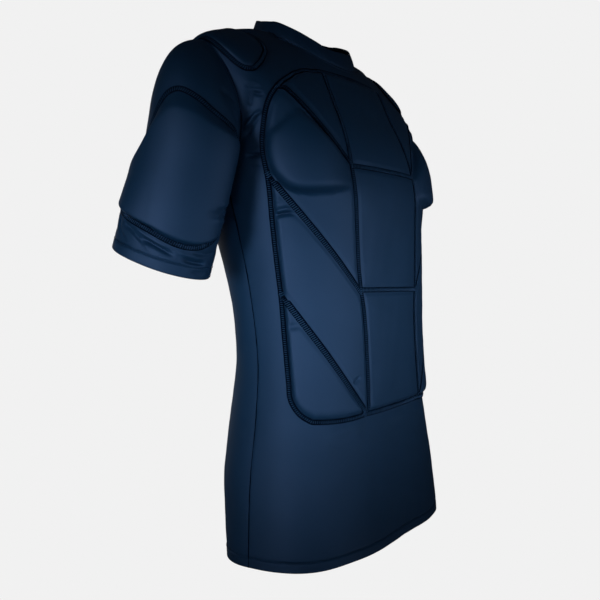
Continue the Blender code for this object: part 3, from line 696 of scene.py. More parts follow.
def sleeve_ring(turn, share):
    """Point of a sleeve under the cap."""
    rows = np.asarray(ARM_SECTIONS)
    knots = lengths_along(rows[:, :3])
    values = smooth_table(knots / knots[-1], rows, share)
    x, y, z, outer, inner, front, back, slope, cant = np.moveaxis(values, -1, 0)
    out = np.where(np.cos(turn) > 0, outer, inner) * np.cos(turn)
    ahead = np.where(np.sin(turn) > 0, front, back) * np.sin(turn)
    return np.stack([x + out, y - ahead, z - cant * out - slope * ahead], -1)


def sleeve(turn, share):
    """Point of the left sleeve's outer face. share: 0 at the armhole, 1 at the cuff."""
    turn, share = np.broadcast_arrays(np.asarray(turn, float), np.asarray(share, float))
    start = body(*armhole(turn))
    end = sleeve_ring(turn, np.zeros_like(turn))
    down = unit(sleeve_ring(turn, np.full_like(turn, 0.02)) - end)
    leaves = {row[0]: np.array(row[1:]) for row in SLEEVE_LEAVES}
    out = np.cos(turn)[..., None]
    ahead = np.sin(turn)[..., None]
    mixed = (np.maximum(out, 0) ** 2 * leaves["top"] + np.maximum(-out, 0) ** 2 * leaves["armpit"]
             + np.maximum(ahead, 0) ** 2 * leaves["front"] + np.maximum(-ahead, 0) ** 2 * leaves["back"])
    chord = np.linalg.norm(end - start, axis=-1, keepdims=True)
    first = mixed[..., 3:] * chord * unit(mixed[..., :3])
    last = 1.1 * chord * down
    t = np.clip(share / CAP_SHARE, 0, 1)[..., None]
    t = np.maximum(t, SLEEVE_GAP / np.linalg.norm(first, axis=-1, keepdims=True))
    cap = curve_between(t, start, first, end, last)
    low = sleeve_ring(turn, np.clip((share - CAP_SHARE) / (1 - CAP_SHARE), 0, 1))
    return np.where(share[..., None] < CAP_SHARE, cap, low)


def sleeve_normal(turn, share):
    """Outward direction of the left sleeve's face."""
    small = 2e-3
    low = np.clip(np.asarray(share) - small, 0.020, 1)
    high = np.clip(np.asarray(share) + small, 0.026, 1)
    around = sleeve(np.asarray(turn) + small, share) - sleeve(np.asarray(turn) - small, share)
    downward = sleeve(turn, high) - sleeve(turn, low)
    normal = np.cross(around, downward)
    return unit(normal)


def eased(count):
    """Places from 0 to 1, closer together at both ends."""
    t = np.linspace(0, 1, count)
    return 0.45 * t + 0.55 * (1 - np.cos(np.pi * t)) / 2


def edge_at(table, height):
    """Angle (degrees) of the outer edge or the centre seam at a height."""
    return table_at(table, height)[..., 0]


def slant_line(name):
    """Points (angle, height) of a slanting seam from the outer edge to the centre seam."""
    start, end, bow = {row[0]: row[1:] for row in SLANT_SEAMS}[name]
    t = np.linspace(0, 1, LINE_POINTS)
    first = float(edge_at(PAD_OUTER_EDGE, start))
    last = float(edge_at(CENTRE_SEAM, end))
    height = start + (end - start) * t - bow * 4 * t * (1 - t)
    return np.stack([first + (last - first) * t, height], -1)


def edge_line(table, top, bottom):
    """Points (angle, height) along the outer edge or the centre seam."""
    height = np.linspace(top, bottom, LINE_POINTS)
    return np.stack([edge_at(table, height), height], -1)


def even_points(line, count):
    """The line again, with points by their distance on the cloth, closer together at the ends."""
    length = lengths_along(line * np.array(FRONT_SCALE))
    at = eased(count) * length[-1]
    return np.stack([np.interp(at, length, line[:, k]) for k in range(2)], -1)


def patch(left, right, top, bottom):
    """Grid between four lines that share their corners."""
    v = eased(len(left))[:, None, None]
    u = eased(len(top))[None, :, None]
    sides = left[:, None] * (1 - u) + right[:, None] * u
    ends = top[None] * (1 - v) + bottom[None] * v
    corners = (top[0] * (1 - u) * (1 - v) + top[-1] * u * (1 - v)
               + bottom[0] * (1 - u) * v + bottom[-1] * u * v)
    return sides + ends - corners


def border(grid):
    """The border points of a grid, once round."""
    return np.concatenate([grid[0, :-1], grid[:-1, -1], grid[-1, :0:-1], grid[:0:-1, 0]])


def pull_in(grid, margin):
    """Move the border of a grid in by the margin, on the cloth."""
    scale = np.array(FRONT_SCALE)
    loop = border(grid * scale)
    after = np.roll(loop, -1, axis=0)
    area = np.sum(loop[:, 0] * after[:, 1] - after[:, 0] * loop[:, 1])
    run = after - loop
    run = run / np.maximum(np.linalg.norm(run, axis=1, keepdims=True), 1e-9)
    side = np.stack([-run[:, 1], run[:, 0]], -1) * np.sign(area)
    before = np.roll(side, 1, axis=0)
    lean = 1 + (side * before).sum(-1, keepdims=True)
    moved = loop + margin * (side + before) / np.maximum(lean, 0.45)
    rows, columns = grid.shape[:2]
    top = moved[:columns]
    right = moved[columns - 1:columns + rows - 1]
    bottom = moved[columns + rows - 2:2 * columns + rows - 2][::-1]
    left = np.concatenate([moved[2 * columns + rows - 3:], moved[:1]])[::-1]
    return patch(left, right, top, bottom) / scale


def edge_distance(grid, scale):
    """Distance of each grid point to the border, on the cloth."""
    flat = grid * np.array(scale)
    start = border(flat)
    run = np.roll(start, -1, axis=0) - start
    size = np.maximum((run**2).sum(-1), 1e-12)
    points = flat.reshape(-1, 1, 2)
    t = np.clip(((points - start) * run).sum(-1) / size, 0, 1)
    nearest = start + t[..., None] * run
    return np.linalg.norm(points - nearest, axis=-1).min(axis=1).reshape(grid.shape[:2])


def rounded(distance, width):
    """0 at the edge, rising to 1 with a round shoulder at the width."""
    t = np.clip(distance / width, 0, 1)
    return np.sqrt(1 - (1 - t) ** 2)


def opposite(line):
    """The same line or patch on the other side of the front."""
    return line * np.array([-1.0, 1.0])


# Meshes
def grid_faces(rows, columns, ring):
    """Quads of a grid, as row and column numbers that don't wrap."""
    last = columns if ring else columns - 1
    i, j = np.meshgrid(np.arange(rows - 1), np.arange(last), indexing="ij")
    i = i.ravel()
    j = j.ravel()
    return np.stack([i, i, i + 1, i + 1], -1), np.stack([j, j + 1, j + 1, j], -1)


def add_mesh(name, points, quads, spots=None):
    """One smooth object. spots: the place of each corner on the flat cloth, metres."""
    mesh = bpy.data.meshes.new(name)
    mesh.vertices.add(len(points))
    mesh.vertices.foreach_set("co", np.asarray(points, np.float32).ravel())
    mesh.loops.add(quads.size)
    mesh.loops.foreach_set("vertex_index", quads.astype(np.int32).ravel())
    mesh.polygons.add(len(quads))
    mesh.polygons.foreach_set("loop_start", np.arange(0, quads.size, 4, dtype=np.int32))
    mesh.update(calc_edges=True)
    mesh.polygons.foreach_set("use_smooth", np.ones(len(quads), bool))
    if spots is not None:
        layer = mesh.uv_layers.new(name="cloth")
        layer.uv.foreach_set("vector", np.asarray(spots, np.float32).ravel())
    mesh.validate()
    piece = bpy.data.objects.new(name, mesh)
    bpy.context.scene.collection.objects.link(piece)
    return piece


def rim_quads(first, second, columns, count, flat):
    """Quads that close a wall along one border, and their places on the cloth.
    first, second: row and column numbers of both ends of each quad; count: points on one face"""
    corners = (first, second, second, first)
    quads = [row * columns + column % columns for row, column in corners]
    quads = np.stack(quads, -1) + np.array([0, 0, count, count])
    spots = [np.stack([flat[0][column], flat[1][row]], -1) for row, column in corners]
    return quads, np.stack(spots, 1)


def add_shell(name, outer, inner, flat, ring=False, flip=False):
    """Closed wall between two grids of points. flat: the place of each column and row on the cloth."""
    rows, columns = outer.shape[:2]
    count = rows * columns
    row, column = grid_faces(rows, columns, ring)
    face = row * columns + column % columns
    spot = np.stack([flat[0][column], flat[1][row]], -1)
    quads = [face, face[:, ::-1] + count]
    spots = [spot, spot[:, ::-1]]
    across = np.arange(columns if ring else columns - 1)
    borders = []
    for row in (0, rows - 1):
        row = np.full_like(across, row)
        borders.append(((row, across + 1), (row, across)))
    if not ring:
        down = np.arange(rows - 1)
        for column in (0, columns - 1):
            column = np.full_like(down, column)
            borders.append(((down, column), (down + 1, column)))
    for number, (first, second) in enumerate(borders):
        turn = -1 if number % 2 else 1
        rim, spot = rim_quads(first, second, columns, count, flat)
        quads.append(rim[:, ::turn])
        spots.append(spot[:, ::turn])
    turn = -1 if flip else 1
    quads = np.concatenate(quads)[:, ::turn]
    spots = np.concatenate(spots)[:, ::turn]
    points = np.concatenate([outer.reshape(-1, 3), inner.reshape(-1, 3)])
    return add_mesh(name, points, quads, spots.reshape(-1, 2))


def surface_area(points, ring=False):
    """Area of a grid of points, square metres."""
    after = np.roll(points, -1, axis=1) if ring else points[:, 1:]
    first = points if ring else points[:, :-1]
    one = np.cross(after[:-1] - first[:-1], first[1:] - first[:-1])
    two = np.cross(after[1:] - after[:-1], first[1:] - after[:-1])
    return 0.5 * (np.linalg.norm(one, axis=-1).sum() + np.linalg.norm(two, axis=-1).sum())


def finer_ends(length, step, ends=(0.0004, 0.0010, 0.0020, 0.0035)):
    """Places from 0 to 1 along a length, closer together at both ends."""
    start = np.array((0.0,) + ends)
    middle = np.linspace(ends[-1], length - ends[-1], int(round((length - 2 * ends[-1]) / step)) + 1)[1:-1]
    return np.concatenate([start, middle, (length - start)[::-1]]) / length


# Folds and the small unevenness of worn cloth
# Relief at edges and seams. Columns: height or depth, width
TURN_UP = (0.0004, 0.0008)
STITCH_GROOVE = (0.0010, 0.0011)
EDGE_RIM = (0.0007, 0.0012)
SEAM_DIP = (0.0008, 0.0012)
# The padding and the left sleeve start their slow waves this much further along.
PAD_WAVES = 0.11
LEFT_WAVES = 0.3


def fold_height(flat, start, end, depth, width, bend):
    """Height of one fold at points on the flat cloth: steeper on one side, fading at both ends."""
    run = end - start
    length = np.linalg.norm(run)
    run = run / length
    rel = flat - start
    t = (rel @ run) / length
    within = np.clip(t, 0, 1)
    off = rel @ np.array([-run[1], run[0]]) - bend * 4 * within * (1 - within)
    fade = np.clip(np.minimum(t, 1 - t) / 0.35 + 0.1, 0, 1)
    fade = fade * fade * (3 - 2 * fade)
    side = np.abs(off) / np.where(off > 0, width, 1.7 * width)
    return depth * fade * (0.55 * np.exp(-(side**2)) + 0.45 * np.exp(-2.2 * side))


def unevenness(x, y):
    """Slow shallow waves over the cloth, metres."""
    slow = np.sin(52 * x + 31 * y + 1.3) * np.sin(71 * y - 23 * x + 0.4)
    quick = np.sin(131 * x + 88 * y + 0.7) * np.sin(163 * y - 57 * x + 2.1)
    return 0.00032 * slow + 0.00014 * quick


def relief_at(flat, shift, folds, scale):
    """How far cloth stands out from the plain form at points on the flat cloth.
    shift: starts the waves elsewhere; scale: metres for one unit of the places in the table."""
    out = unevenness(flat[..., 0] + shift, flat[..., 1])
    for u0, v0, u1, v1, depth, width, bend in folds:
        start = np.array([u0, v0]) * scale
        end = np.array([u1, v1]) * scale
        out = out + fold_height(flat, start, end, 0.001 * depth, 0.001 * width, 0.001 * bend)
    return out


def body_relief(angle, height, back):
    """The relief of the front or the back, each with the folds that reach it."""
    degrees = np.degrees(angle) % 360 if back else np.degrees(angle)
    folds = []
    for angle0, height0, angle1, *rest in BODY_FOLDS:
        furthest = max(abs(angle0), abs(angle1))
        if back and furthest > BACK_FOLDS_FROM:
            folds.append((angle0 % 360, height0, angle1 % 360, *rest))
        elif not back and furthest < FRONT_FOLDS_TO:
            folds.append((angle0, height0, angle1, *rest))
    return relief_at(np.stack([degrees * FRONT_SCALE[0], height], -1), 0.0, folds, FOLD_SCALE)


def arm_degrees(turn):
    """Degrees round the arm, counted up from the turn where tables start. turn: radians."""
    return (np.degrees(turn) - TURN_START) % 360 + TURN_START


def arm_relief(turn, share, side, folds):
    """The relief of a sleeve or of its padding. turn in radians."""
    flat = np.stack([arm_degrees(turn) * SLEEVE_SCALE[0], share * SLEEVE_SCALE[1]], -1)
    own = [row[1:] for row in folds if row[0] == side]
    return relief_at(flat, LEFT_WAVES if side == "L" else 0.0, own, SLEEVE_SCALE)


def smooth_step(share):
    """0 to 1, level at both ends."""
    t = np.clip(share, 0, 1)
    return t * t * (3 - 2 * t)


def turned_edge(distance, stitch):
    """A turned-up edge: a touch thicker up to its stitching, a groove there, and a round rim."""
    thicker = TURN_UP[0] / (1 + np.exp(np.clip((distance - stitch) / TURN_UP[1], -30, 30)))
    groove = -STITCH_GROOVE[0] * np.exp(-(((distance - stitch) / STITCH_GROOVE[1]) ** 2))
    rim = -EDGE_RIM[0] * np.clip(1 - distance / EDGE_RIM[1], 0, 1) ** 2
    return thicker + groove + rim


def seam_dip(distance):
    """Two panels roll in a little where they are sewn together."""
    return -SEAM_DIP[0] * np.exp(-distance / SEAM_DIP[1])


# Panels: lengths on the cloth, how far apart rows and columns are, and half a panel's width
UNDER_ARM = 0.478
SHOULDER_LONG = 0.125
NECK_SCALE = 0.50
PANEL_STEP = 0.0034
LOW_STEP = 0.0056
ARMHOLE_ROWS = 104
# How much closer together the rows are halfway up the armhole, where the folds are.
ARMHOLE_CROWD = 0.6
HALF_PANEL = 0.215
# Columns of the front, from its side inward: from, to and how many beside the padding, then how many beneath it
COLUMNS_BESIDE = (0.0033, 0.086, 62)
COLUMNS_BENEATH = 31
# Folds under the padding fade out over this angle (degrees) and this height beside it.
COVERED_FADE = 2.0
COVERED_MARGIN = 0.001
# The inside of the cloth takes this share of the relief, and a side seam dips by this share of a full dip.
INNER_RELIEF = 0.8
SIDE_DIP = 0.5


def hem_shares(length):
    """Rows from an edge upward: close together at the edge and at its stitching."""
    fine = np.concatenate([[0, 0.0004, 0.0009, 0.0016, 0.0030, 0.0050, 0.0070, 0.0090],
                           np.arange(0.0100, 0.0152, 0.0007), [0.0162, 0.0180]])
    rest = np.linspace(0.0180, length, int(round((length - 0.0180) / LOW_STEP)) + 1)[1:]
    return np.concatenate([fine, rest]) / length


def front_columns():
    """Places across the front, -1 to 1: close together beside the padding, wider apart beneath it."""
    beside = np.linspace(*COLUMNS_BESIDE)
    beneath = np.linspace(COLUMNS_BESIDE[1], HALF_PANEL, COLUMNS_BENEATH)[1:]
    half = np.concatenate([[0, 0.0004, 0.0010, 0.0020], beside, beneath]) / HALF_PANEL - 1
    return np.concatenate([half, -half[-2::-1]])


def add_panel(name, front):
    """The front or the back panel, with the size and the area of its cut."""
    cut = ARMHOLE_FRONT if front else ARMHOLE_BACK
    low = hem_shares(UNDER_ARM)
    share = np.linspace(0, 1, ARMHOLE_ROWS)[1:]
    beside = armhole(np.pi * (1 - share - ARMHOLE_CROWD * np.sin(2 * np.pi * share) / (2 * np.pi)))[1]
    over = TIP + (1 - TIP) * finer_ends(SHOULDER_LONG, PANEL_STEP)[1:]
    spread = front_columns() if front else 2 * finer_ends(2 * HALF_PANEL, PANEL_STEP) - 1
    above = np.concatenate([beside, over])
    half = np.concatenate([np.full(len(low), np.pi / 2), np.pi / 2 - panel_edge(above, cut)])
    angle = spread[None, :] * half[:, None]
    if not front:
        angle = angle + np.pi
    wrapped = np.arctan2(np.sin(angle), np.cos(angle))
    bottom = hem_along(wrapped[0])
    place = np.concatenate([bottom + (ARMPIT - bottom) * low[:, None],
                            np.broadcast_to(above[:, None], (len(above), len(spread)))])
    base = body(angle, place)
    normal = body_normal(angle, np.clip(place, 0.0005, 0.9995))
    relief = body_relief(wrapped if front else angle, base[..., 2], not front)
    if front:
        outside = (np.abs(np.degrees(wrapped)) - edge_at(PAD_OUTER_EDGE, base[..., 2])) / COVERED_FADE
        height = base[..., 2]
        covered = (height > PAD_BOTTOM - COVERED_MARGIN) & (height < PAD_TOP + COVERED_MARGIN)
        relief = np.where(covered, relief * np.clip(outside, 0, 1), relief)
    from_edge = (1 - np.abs(spread)) * HALF_PANEL
    relief = relief + SIDE_DIP * seam_dip(from_edge)[None, :]
    up = np.concatenate([low * UNDER_ARM, np.full(len(above), 1.0)])
    relief = relief + turned_edge(up, HEM_STITCH_UP)[:, None]
    relief = relief + seam_dip((1 - place) * NECK_SCALE)
    outer = base + normal * relief[..., None]
    inner = base + normal * (INNER_RELIEF * relief - CLOTH)[..., None]
    columns = spread * HALF_PANEL
    rows = lengths_along(base[:, len(spread) // 2])
    panel = add_shell(name, outer, inner, (columns, rows), flip=True)
    wide = np.linalg.norm(np.diff(outer, axis=1), axis=-1).sum(axis=1).max()
    tall = np.linalg.norm(np.diff(outer, axis=0), axis=-1).sum(axis=0).max()
    return panel, (float(wide), float(tall)), float(surface_area(outer))


# Collar
COLLAR_COLUMNS = 260
COLLAR_THICK = 0.0026
# How far the collar runs down inside the neck of the panels.
COLLAR_TUCK = 0.0035
# Waves round the collar: in and out at its upper edge, and up and down. Columns: height, times round, start
COLLAR_LEANS = ((0.0006, 5, 0.6), (0.0004, 11, 2.0), (0.0003, 17, 0.0))
COLLAR_DIPS = ((0.0010, 3, 0.4), (0.0006, 7, 1.0))
# Metres on the cloth for one radian round the collar
COLLAR_SCALE = 0.075


def add_collar(name):
    """The stand-up band round the neck, with the size of its cut."""
    angle = np.linspace(-np.pi, np.pi, COLLAR_COLUMNS + 1)[:-1]
    seam = body(angle, np.ones_like(angle))
    out = np.stack([np.sin(angle), -np.cos(angle), np.zeros_like(angle)], -1)
    wave, dip = (sum(high * np.sin(times * angle + start) for high, times, start in waves)
                 for waves in (COLLAR_LEANS, COLLAR_DIPS))
    section = [(-0.0012, -COLLAR_TUCK, 0.0)]
    for t in np.linspace(0, 1, 12):
        swell = 0.0007 * np.sin(np.pi * t) - 0.0009 * np.exp(-t / 0.05)
        section.append((-COLLAR_LEAN * t + swell, COLLAR_HEIGHT * t, t))
    for turn in np.linspace(0, np.pi, 7)[1:-1]:
        centre = -COLLAR_LEAN - COLLAR_THICK / 2
        round_over = COLLAR_THICK / 2 * np.array([np.cos(turn), np.sin(turn)])
        section.append((centre + round_over[0], COLLAR_HEIGHT + round_over[1], 1.0))
    for t in np.linspace(1, 0, 9):
        section.append((-COLLAR_LEAN * t - COLLAR_THICK, COLLAR_HEIGHT * t, t))
    section.append((-COLLAR_THICK, -COLLAR_TUCK, 0.0))
    loops = []
    for away, rise, t in section:
        loop = seam + out * (away + wave * t)[:, None]
        loop[:, 2] = loop[:, 2] + rise + dip * t
        loops.append(loop)
    loops = np.array(loops)
    rows, columns = loops.shape[:2]
    row, column = grid_faces(rows, columns, True)
    face = row * columns + column % columns
    around = angle[0] + (angle[1] - angle[0]) * column
    lengths = lengths_along([[away, rise] for away, rise, _ in section])
    spots = np.stack([around * COLLAR_SCALE, lengths[row]], -1)
    collar = add_mesh(name, loops.reshape(-1, 3), face, spots.reshape(-1, 2))
    round_length = float(np.linalg.norm(np.roll(seam, -1, axis=0) - seam, axis=1).sum())
    return collar, (round_length, 2 * (COLLAR_HEIGHT + COLLAR_TUCK) + COLLAR_THICK)


# Sleeves. Rows lie at shares of the length, closer together where the cuff is sewn.
# Columns: start, end, how many points
SLEEVE_ROWS = ((0.018, 0.80, 68), (0.80, 0.94, 34), (0.94, 0.964, 12), (0.964, 0.985, 6))
SLEEVE_COLUMNS = 256
SLEEVE_GIRTH = 0.36
# Under its padding the sleeve lies deeper by this much, coming in over this width.
UNDER_PAD_DEEP = 0.0006
UNDER_PAD_WIDTH = 0.004
UNDER_SEAM_DIP = 0.9
# Folds reach their full height at this share from the armhole.
SLEEVE_FOLDS_START = 0.03


def sleeve_part(side, points):
    """The points are made for the wearer's left; the right is mirrored."""
    return points * np.array([-1.0, 1.0, 1.0]) if side == "R" else points


def cuff_flare(degrees, share):
    """The cuff stands away from the arm a little, outside and behind."""
    around = np.clip(1 - ((degrees - CUFF_FLARE_TURN) / CUFF_FLARE_SIDE) ** 2, 0, 1)
    return CUFF_FLARE * around * smooth_step((share - CUFF_FLARE_FROM) / CUFF_FLARE_RUN)


def inside_sleeve_pad(degrees, share):
    """How far places lie inside the sleeve padding's upper edge, lower edge and ends, metres."""
    edges = table_at(SLEEVE_PAD_EDGES, degrees)
    upper = (share - edges[..., 0]) * SLEEVE_SCALE[1]
    lower = (edges[..., 1] - share) * SLEEVE_SCALE[1]
    ends = np.minimum(degrees - SLEEVE_PAD_EDGES[0][0], SLEEVE_PAD_EDGES[-1][0] - degrees) * SLEEVE_SCALE[0]
    return upper, lower, ends


def add_sleeve(name, side):
    """One sleeve, with the size and the area of its cut."""
    turn = np.linspace(0, 2 * np.pi, SLEEVE_COLUMNS + 1)[:-1]
    parts = [np.linspace(*row)[1:] for row in SLEEVE_ROWS]
    share = np.concatenate([[0, 0.003, 0.007, 0.011, 0.018], *parts, [0.992, 0.997, 1.0]])
    turn, share = np.meshgrid(turn, share)
    base = sleeve(turn, share)
    normal = sleeve_normal(turn, share)
    relief = arm_relief(turn, share, side, SLEEVE_FOLDS)
    degrees = arm_degrees(turn)
    inside = np.min(inside_sleeve_pad(degrees, share), axis=0) / UNDER_PAD_WIDTH
    relief = relief * np.clip(-inside, 0, 1) - UNDER_PAD_DEEP * np.clip(inside, 0, 1)
    relief = relief * np.clip(share / SLEEVE_FOLDS_START, 0, 1)
    relief = relief + turned_edge((1 - share) * SLEEVE_SCALE[1], (1 - CUFF_STITCH_SHARE) * SLEEVE_SCALE[1])
    under = np.abs((np.degrees(turn) - 180)) * SLEEVE_SCALE[0]
    relief = relief + UNDER_SEAM_DIP * seam_dip(under)
    relief = relief + cuff_flare(degrees, share)
    outer = sleeve_part(side, base + normal * relief[..., None])
    inner = sleeve_part(side, base + normal * (INNER_RELIEF * relief - CLOTH)[..., None])
    columns = np.arange(SLEEVE_COLUMNS + 1) * (SLEEVE_GIRTH / SLEEVE_COLUMNS)
    rows = share[:, 0] * SLEEVE_SCALE[1]
    piece = add_shell(name, outer, inner, (columns, rows), ring=True, flip=side == "R")
    around = np.linalg.norm(np.roll(outer, -1, axis=1) - outer, axis=-1).sum(axis=1).max()
    tall = np.linalg.norm(np.diff(outer, axis=0), axis=-1).sum(axis=0).max()
    return piece, (float(around), float(tall)), float(surface_area(outer, ring=True))


# Front padding
def distance_to(line, place):
    """Distance on the flat cloth from places to a line through points."""
    run = np.diff(line, axis=0)
    away = np.full(place.shape[:-1], np.inf)
    for start, ahead in zip(line[:-1], run):
        rel = place - start
        t = np.clip((rel @ ahead) / max(float(ahead @ ahead), 1e-12), 0, 1)
        away = np.minimum(away, np.linalg.norm(rel - t[..., None] * ahead, axis=-1))
    return away


def within(line, place):
    """Whether places lie inside a closed line through points."""
    inside = np.zeros(place.shape[:-1], bool)
    for (x0, y0), (x1, y1) in zip(line[:-1], line[1:]):
        spans = (y0 > place[..., 1]) != (y1 > place[..., 1])
        crossing = x0 + (x1 - x0) * (place[..., 1] - y0) / (y1 - y0 if y1 != y0 else 1)
        inside ^= spans & (place[..., 0] < crossing)
    return inside


def chest_foot():
    """Closed line round the foot of the chest's raised part, on the flat cloth."""
    table = np.array(CHEST_FOOT)
    closed = np.concatenate([table[-1:], table, table[:2]])
    at = np.linspace(1, len(table) + 1, 140)
    return smooth_table(np.arange(len(closed)), closed, at) * FRONT_SCALE


def chest_rise(angle, height):
    """How much further the chest pads stand out."""
    degrees = np.abs(angle)
    foot = chest_foot()
    place = np.stack([degrees, height], -1) * FRONT_SCALE
    lip = rounded(np.where(within(foot, place), distance_to(foot, place), 0), STEP_ROUND)
    tall = np.clip((height - CHEST_PEAK_HEIGHT) / CHEST_UP, 0, 1)
    spread = np.where(degrees < CHEST_PEAK_ANGLE, CHEST_SPREAD_IN, CHEST_SPREAD_OUT)
    wide = np.clip((degrees - CHEST_PEAK_ANGLE) / spread, -1, 1)
    return CHEST_RISE * lip * (1 - tall**2) ** CHEST_UP_POWER * (1 - wide**2) ** CHEST_SIDE_POWER


def pad_relief(grid):
    """How far the front padding's cloth stands out from its plain form."""
    flat = np.stack([grid[..., 0] * FRONT_SCALE[0], grid[..., 1]], -1)
    return relief_at(flat, PAD_WAVES, PAD_FOLDS, FOLD_SCALE)


def tilted(angle, height):
    """The lower padding leans with the hem."""
    low = np.clip((PAD_TILT_FROM - height) / PAD_TILT_RUN, 0, 1)
    return height + PAD_TILT * low * np.sin(angle)


def front_place(line):
    """Points and outward directions for a line on the front, given by angle (degrees) and height."""
    angle = np.radians(line[..., 0])
    along = along_at(angle, tilted(angle, line[..., 1]))
    return body(angle, along), body_normal(angle, along)


def base_line(start, end):
    """The padding's lower edge on one side."""
    t = np.linspace(0, 1, LINE_POINTS)[:, None]
    base = start * (1 - t) + end * t
    base[:, 1] -= BASE_BOW * 4 * (t * (1 - t))[:, 0]
    return base


def padding_outline():
    """The padding's outline on the wearer's left, from the centre seam's top to its bottom."""
    outer = edge_line(PAD_OUTER_EDGE, TOP_CORNER_START, BASE_CORNER_END)
    crown = np.linspace((float(edge_at(CENTRE_SEAM, PAD_TOP)), PAD_TOP), outer[0], 20)
    return np.concatenate([crown, outer[1:], base_line(outer[-1], slant_line("third")[-1])[1:]])


OUTLINE = padding_outline()


def outline_share(points):
    """0 at the padding's outline, 1 where the padding has its full height."""
    line = np.concatenate([[(0, PAD_TOP)], OUTLINE, [(0, PAD_BOTTOM)]]) * FRONT_SCALE
    place = np.stack([np.abs(points[..., 0]), points[..., 1]], -1) * FRONT_SCALE
    from_corner = np.linalg.norm(place - np.array(BASE_SOFT_PLACE) * FRONT_SCALE, axis=-1)
    width = OUTLINE_ROUND * (1 + BASE_SOFT * np.exp(-(from_corner / BASE_SOFT_REACH) ** 2))
    return rounded(np.maximum(distance_to(line, place) - SEAM_FLOOR, 0), width)


def seam_lift(line):
    """How high the padding's seams lie above the cloth."""
    return PAD_LIFT + PAD_EDGE + (SEAM_LEVEL - PAD_EDGE) * outline_share(line)


def padding_faces(place, thick, side="L"):
    """Outer and inner face of a padded piece. place: points and outward directions on the cloth."""
    face, normal = place
    over = face + normal * (PAD_LIFT + np.maximum(thick, LEAST_THICK))[..., None]
    return sleeve_part(side, over), sleeve_part(side, face + normal * PAD_LIFT)


def add_front_pad(name, grid):
    """One piece of the front padding, from its patch."""
    grid = pull_in(grid, PAD_MARGIN)
    distance = np.maximum(edge_distance(grid, FRONT_SCALE) + PAD_MARGIN - SEAM_FLOOR, 0)
    form = PAD_FIRM * smooth_step(distance / PAD_ROUND) + (1 - PAD_FIRM) * smooth_step(distance / PAD_SWELL)
    full = SEAM_LEVEL + (PAD_THICK - SEAM_LEVEL) * form
    thick = PAD_EDGE + (full - PAD_EDGE) * outline_share(grid)
    thick = thick + chest_rise(grid[..., 0], grid[..., 1]) * rounded(distance, CHEST_ROUND)
    thick = thick + pad_relief(grid) * np.clip(distance / PAD_RELIEF_EDGE, 0, 1)
    over, under = padding_faces(front_place(grid), thick)
    rows, columns = grid.shape[:2]
    flat = (lengths_along(over[rows // 2]), lengths_along(over[:, columns // 2]))
    return add_shell(name, over, under, flat, flip=grid[0, -1, 0] >= grid[0, 0, 0])


def side_pads():
    """Patches of the side pads on the wearer's left, by name."""
    first, second, third = (slant_line(row[0]) for row in SLANT_SEAMS)
    shift = np.array([0, SLANT_SHIFT])
    corner = edge_line(PAD_OUTER_EDGE, TOP_CORNER_START, TOP_CORNER_END)
    crown = np.concatenate([[[float(edge_at(CENTRE_SEAM, PAD_TOP)), PAD_TOP]], corner])
    lines = {"pad_top": (edge_line(PAD_OUTER_EDGE, TOP_CORNER_END, first[0, 1]),
                         edge_line(CENTRE_SEAM, PAD_TOP, first[-1, 1]), crown[::-1], first)}
    for name, over, beneath in (("pad_chest", first - shift, second), ("pad_waist", second - shift, third)):
        lines[name] = (edge_line(PAD_OUTER_EDGE, over[0, 1], beneath[0, 1]),
                       edge_line(CENTRE_SEAM, over[-1, 1], beneath[-1, 1]), over, beneath)
    over = third - shift
    corner = edge_line(PAD_OUTER_EDGE, BASE_CORNER_START, BASE_CORNER_END)
    lines["pad_belly"] = (edge_line(PAD_OUTER_EDGE, over[0, 1], BASE_CORNER_START),
                          base_line(corner[-1], third[-1])[::-1], over, corner)
    pads = {}
    for name, around in lines.items():
        count = FINE_PAD_POINTS if name == "pad_waist" else PAD_POINTS
        pads[name] = patch(*(even_points(line, count) for line in around))
    return pads


def centre_pad(top, bottom):
    """Patch between the two centre seams."""
    right = even_points(edge_line(CENTRE_SEAM, top, bottom), PAD_POINTS)
    left = opposite(right)
    t = eased(PAD_POINTS)[:, None]
    return patch(left, right, left[0] * (1 - t) + right[0] * t, left[-1] * (1 - t) + right[-1] * t)


# Shoulder pads
def strip_grid(degrees, edges, rows):
    """Grid between two edges that are given at each angle."""
    v = eased(rows)[:, None]
    share = edges[:, 0] * (1 - v) + edges[:, 1] * v
    return np.stack([np.broadcast_to(degrees, share.shape), share], -1)


def strip_outline(degrees, edges, ends):
    """Closed line round the same strip, with this many points across each end."""
    first = np.stack([degrees, edges[:, 0]], -1)
    second = np.stack([degrees, edges[:, 1]], -1)[::-1]
    far = np.linspace(first[-1], second[0], ends)[1:-1]
    near = np.linspace(second[-1], first[0], ends)[1:]
    return np.concatenate([first, far, second, near])


def shoulder_strip(columns):
    """Angles across the shoulder pad and its edges there."""
    degrees = SHOULDER_PAD_EDGES[-1][0] * np.sin(np.linspace(-1, 1, columns) * np.pi / 2)
    return degrees, table_at(SHOULDER_PAD_EDGES, np.abs(degrees))


def shoulder_place(line):
    """Points and outward directions on the left shoulder, by angle from the side line and share."""
    around = np.pi / 2 - np.radians(line[..., 0])
    along = TIP + (1 - TIP) * line[..., 1]
    return body(around, along), body_normal(around, along)


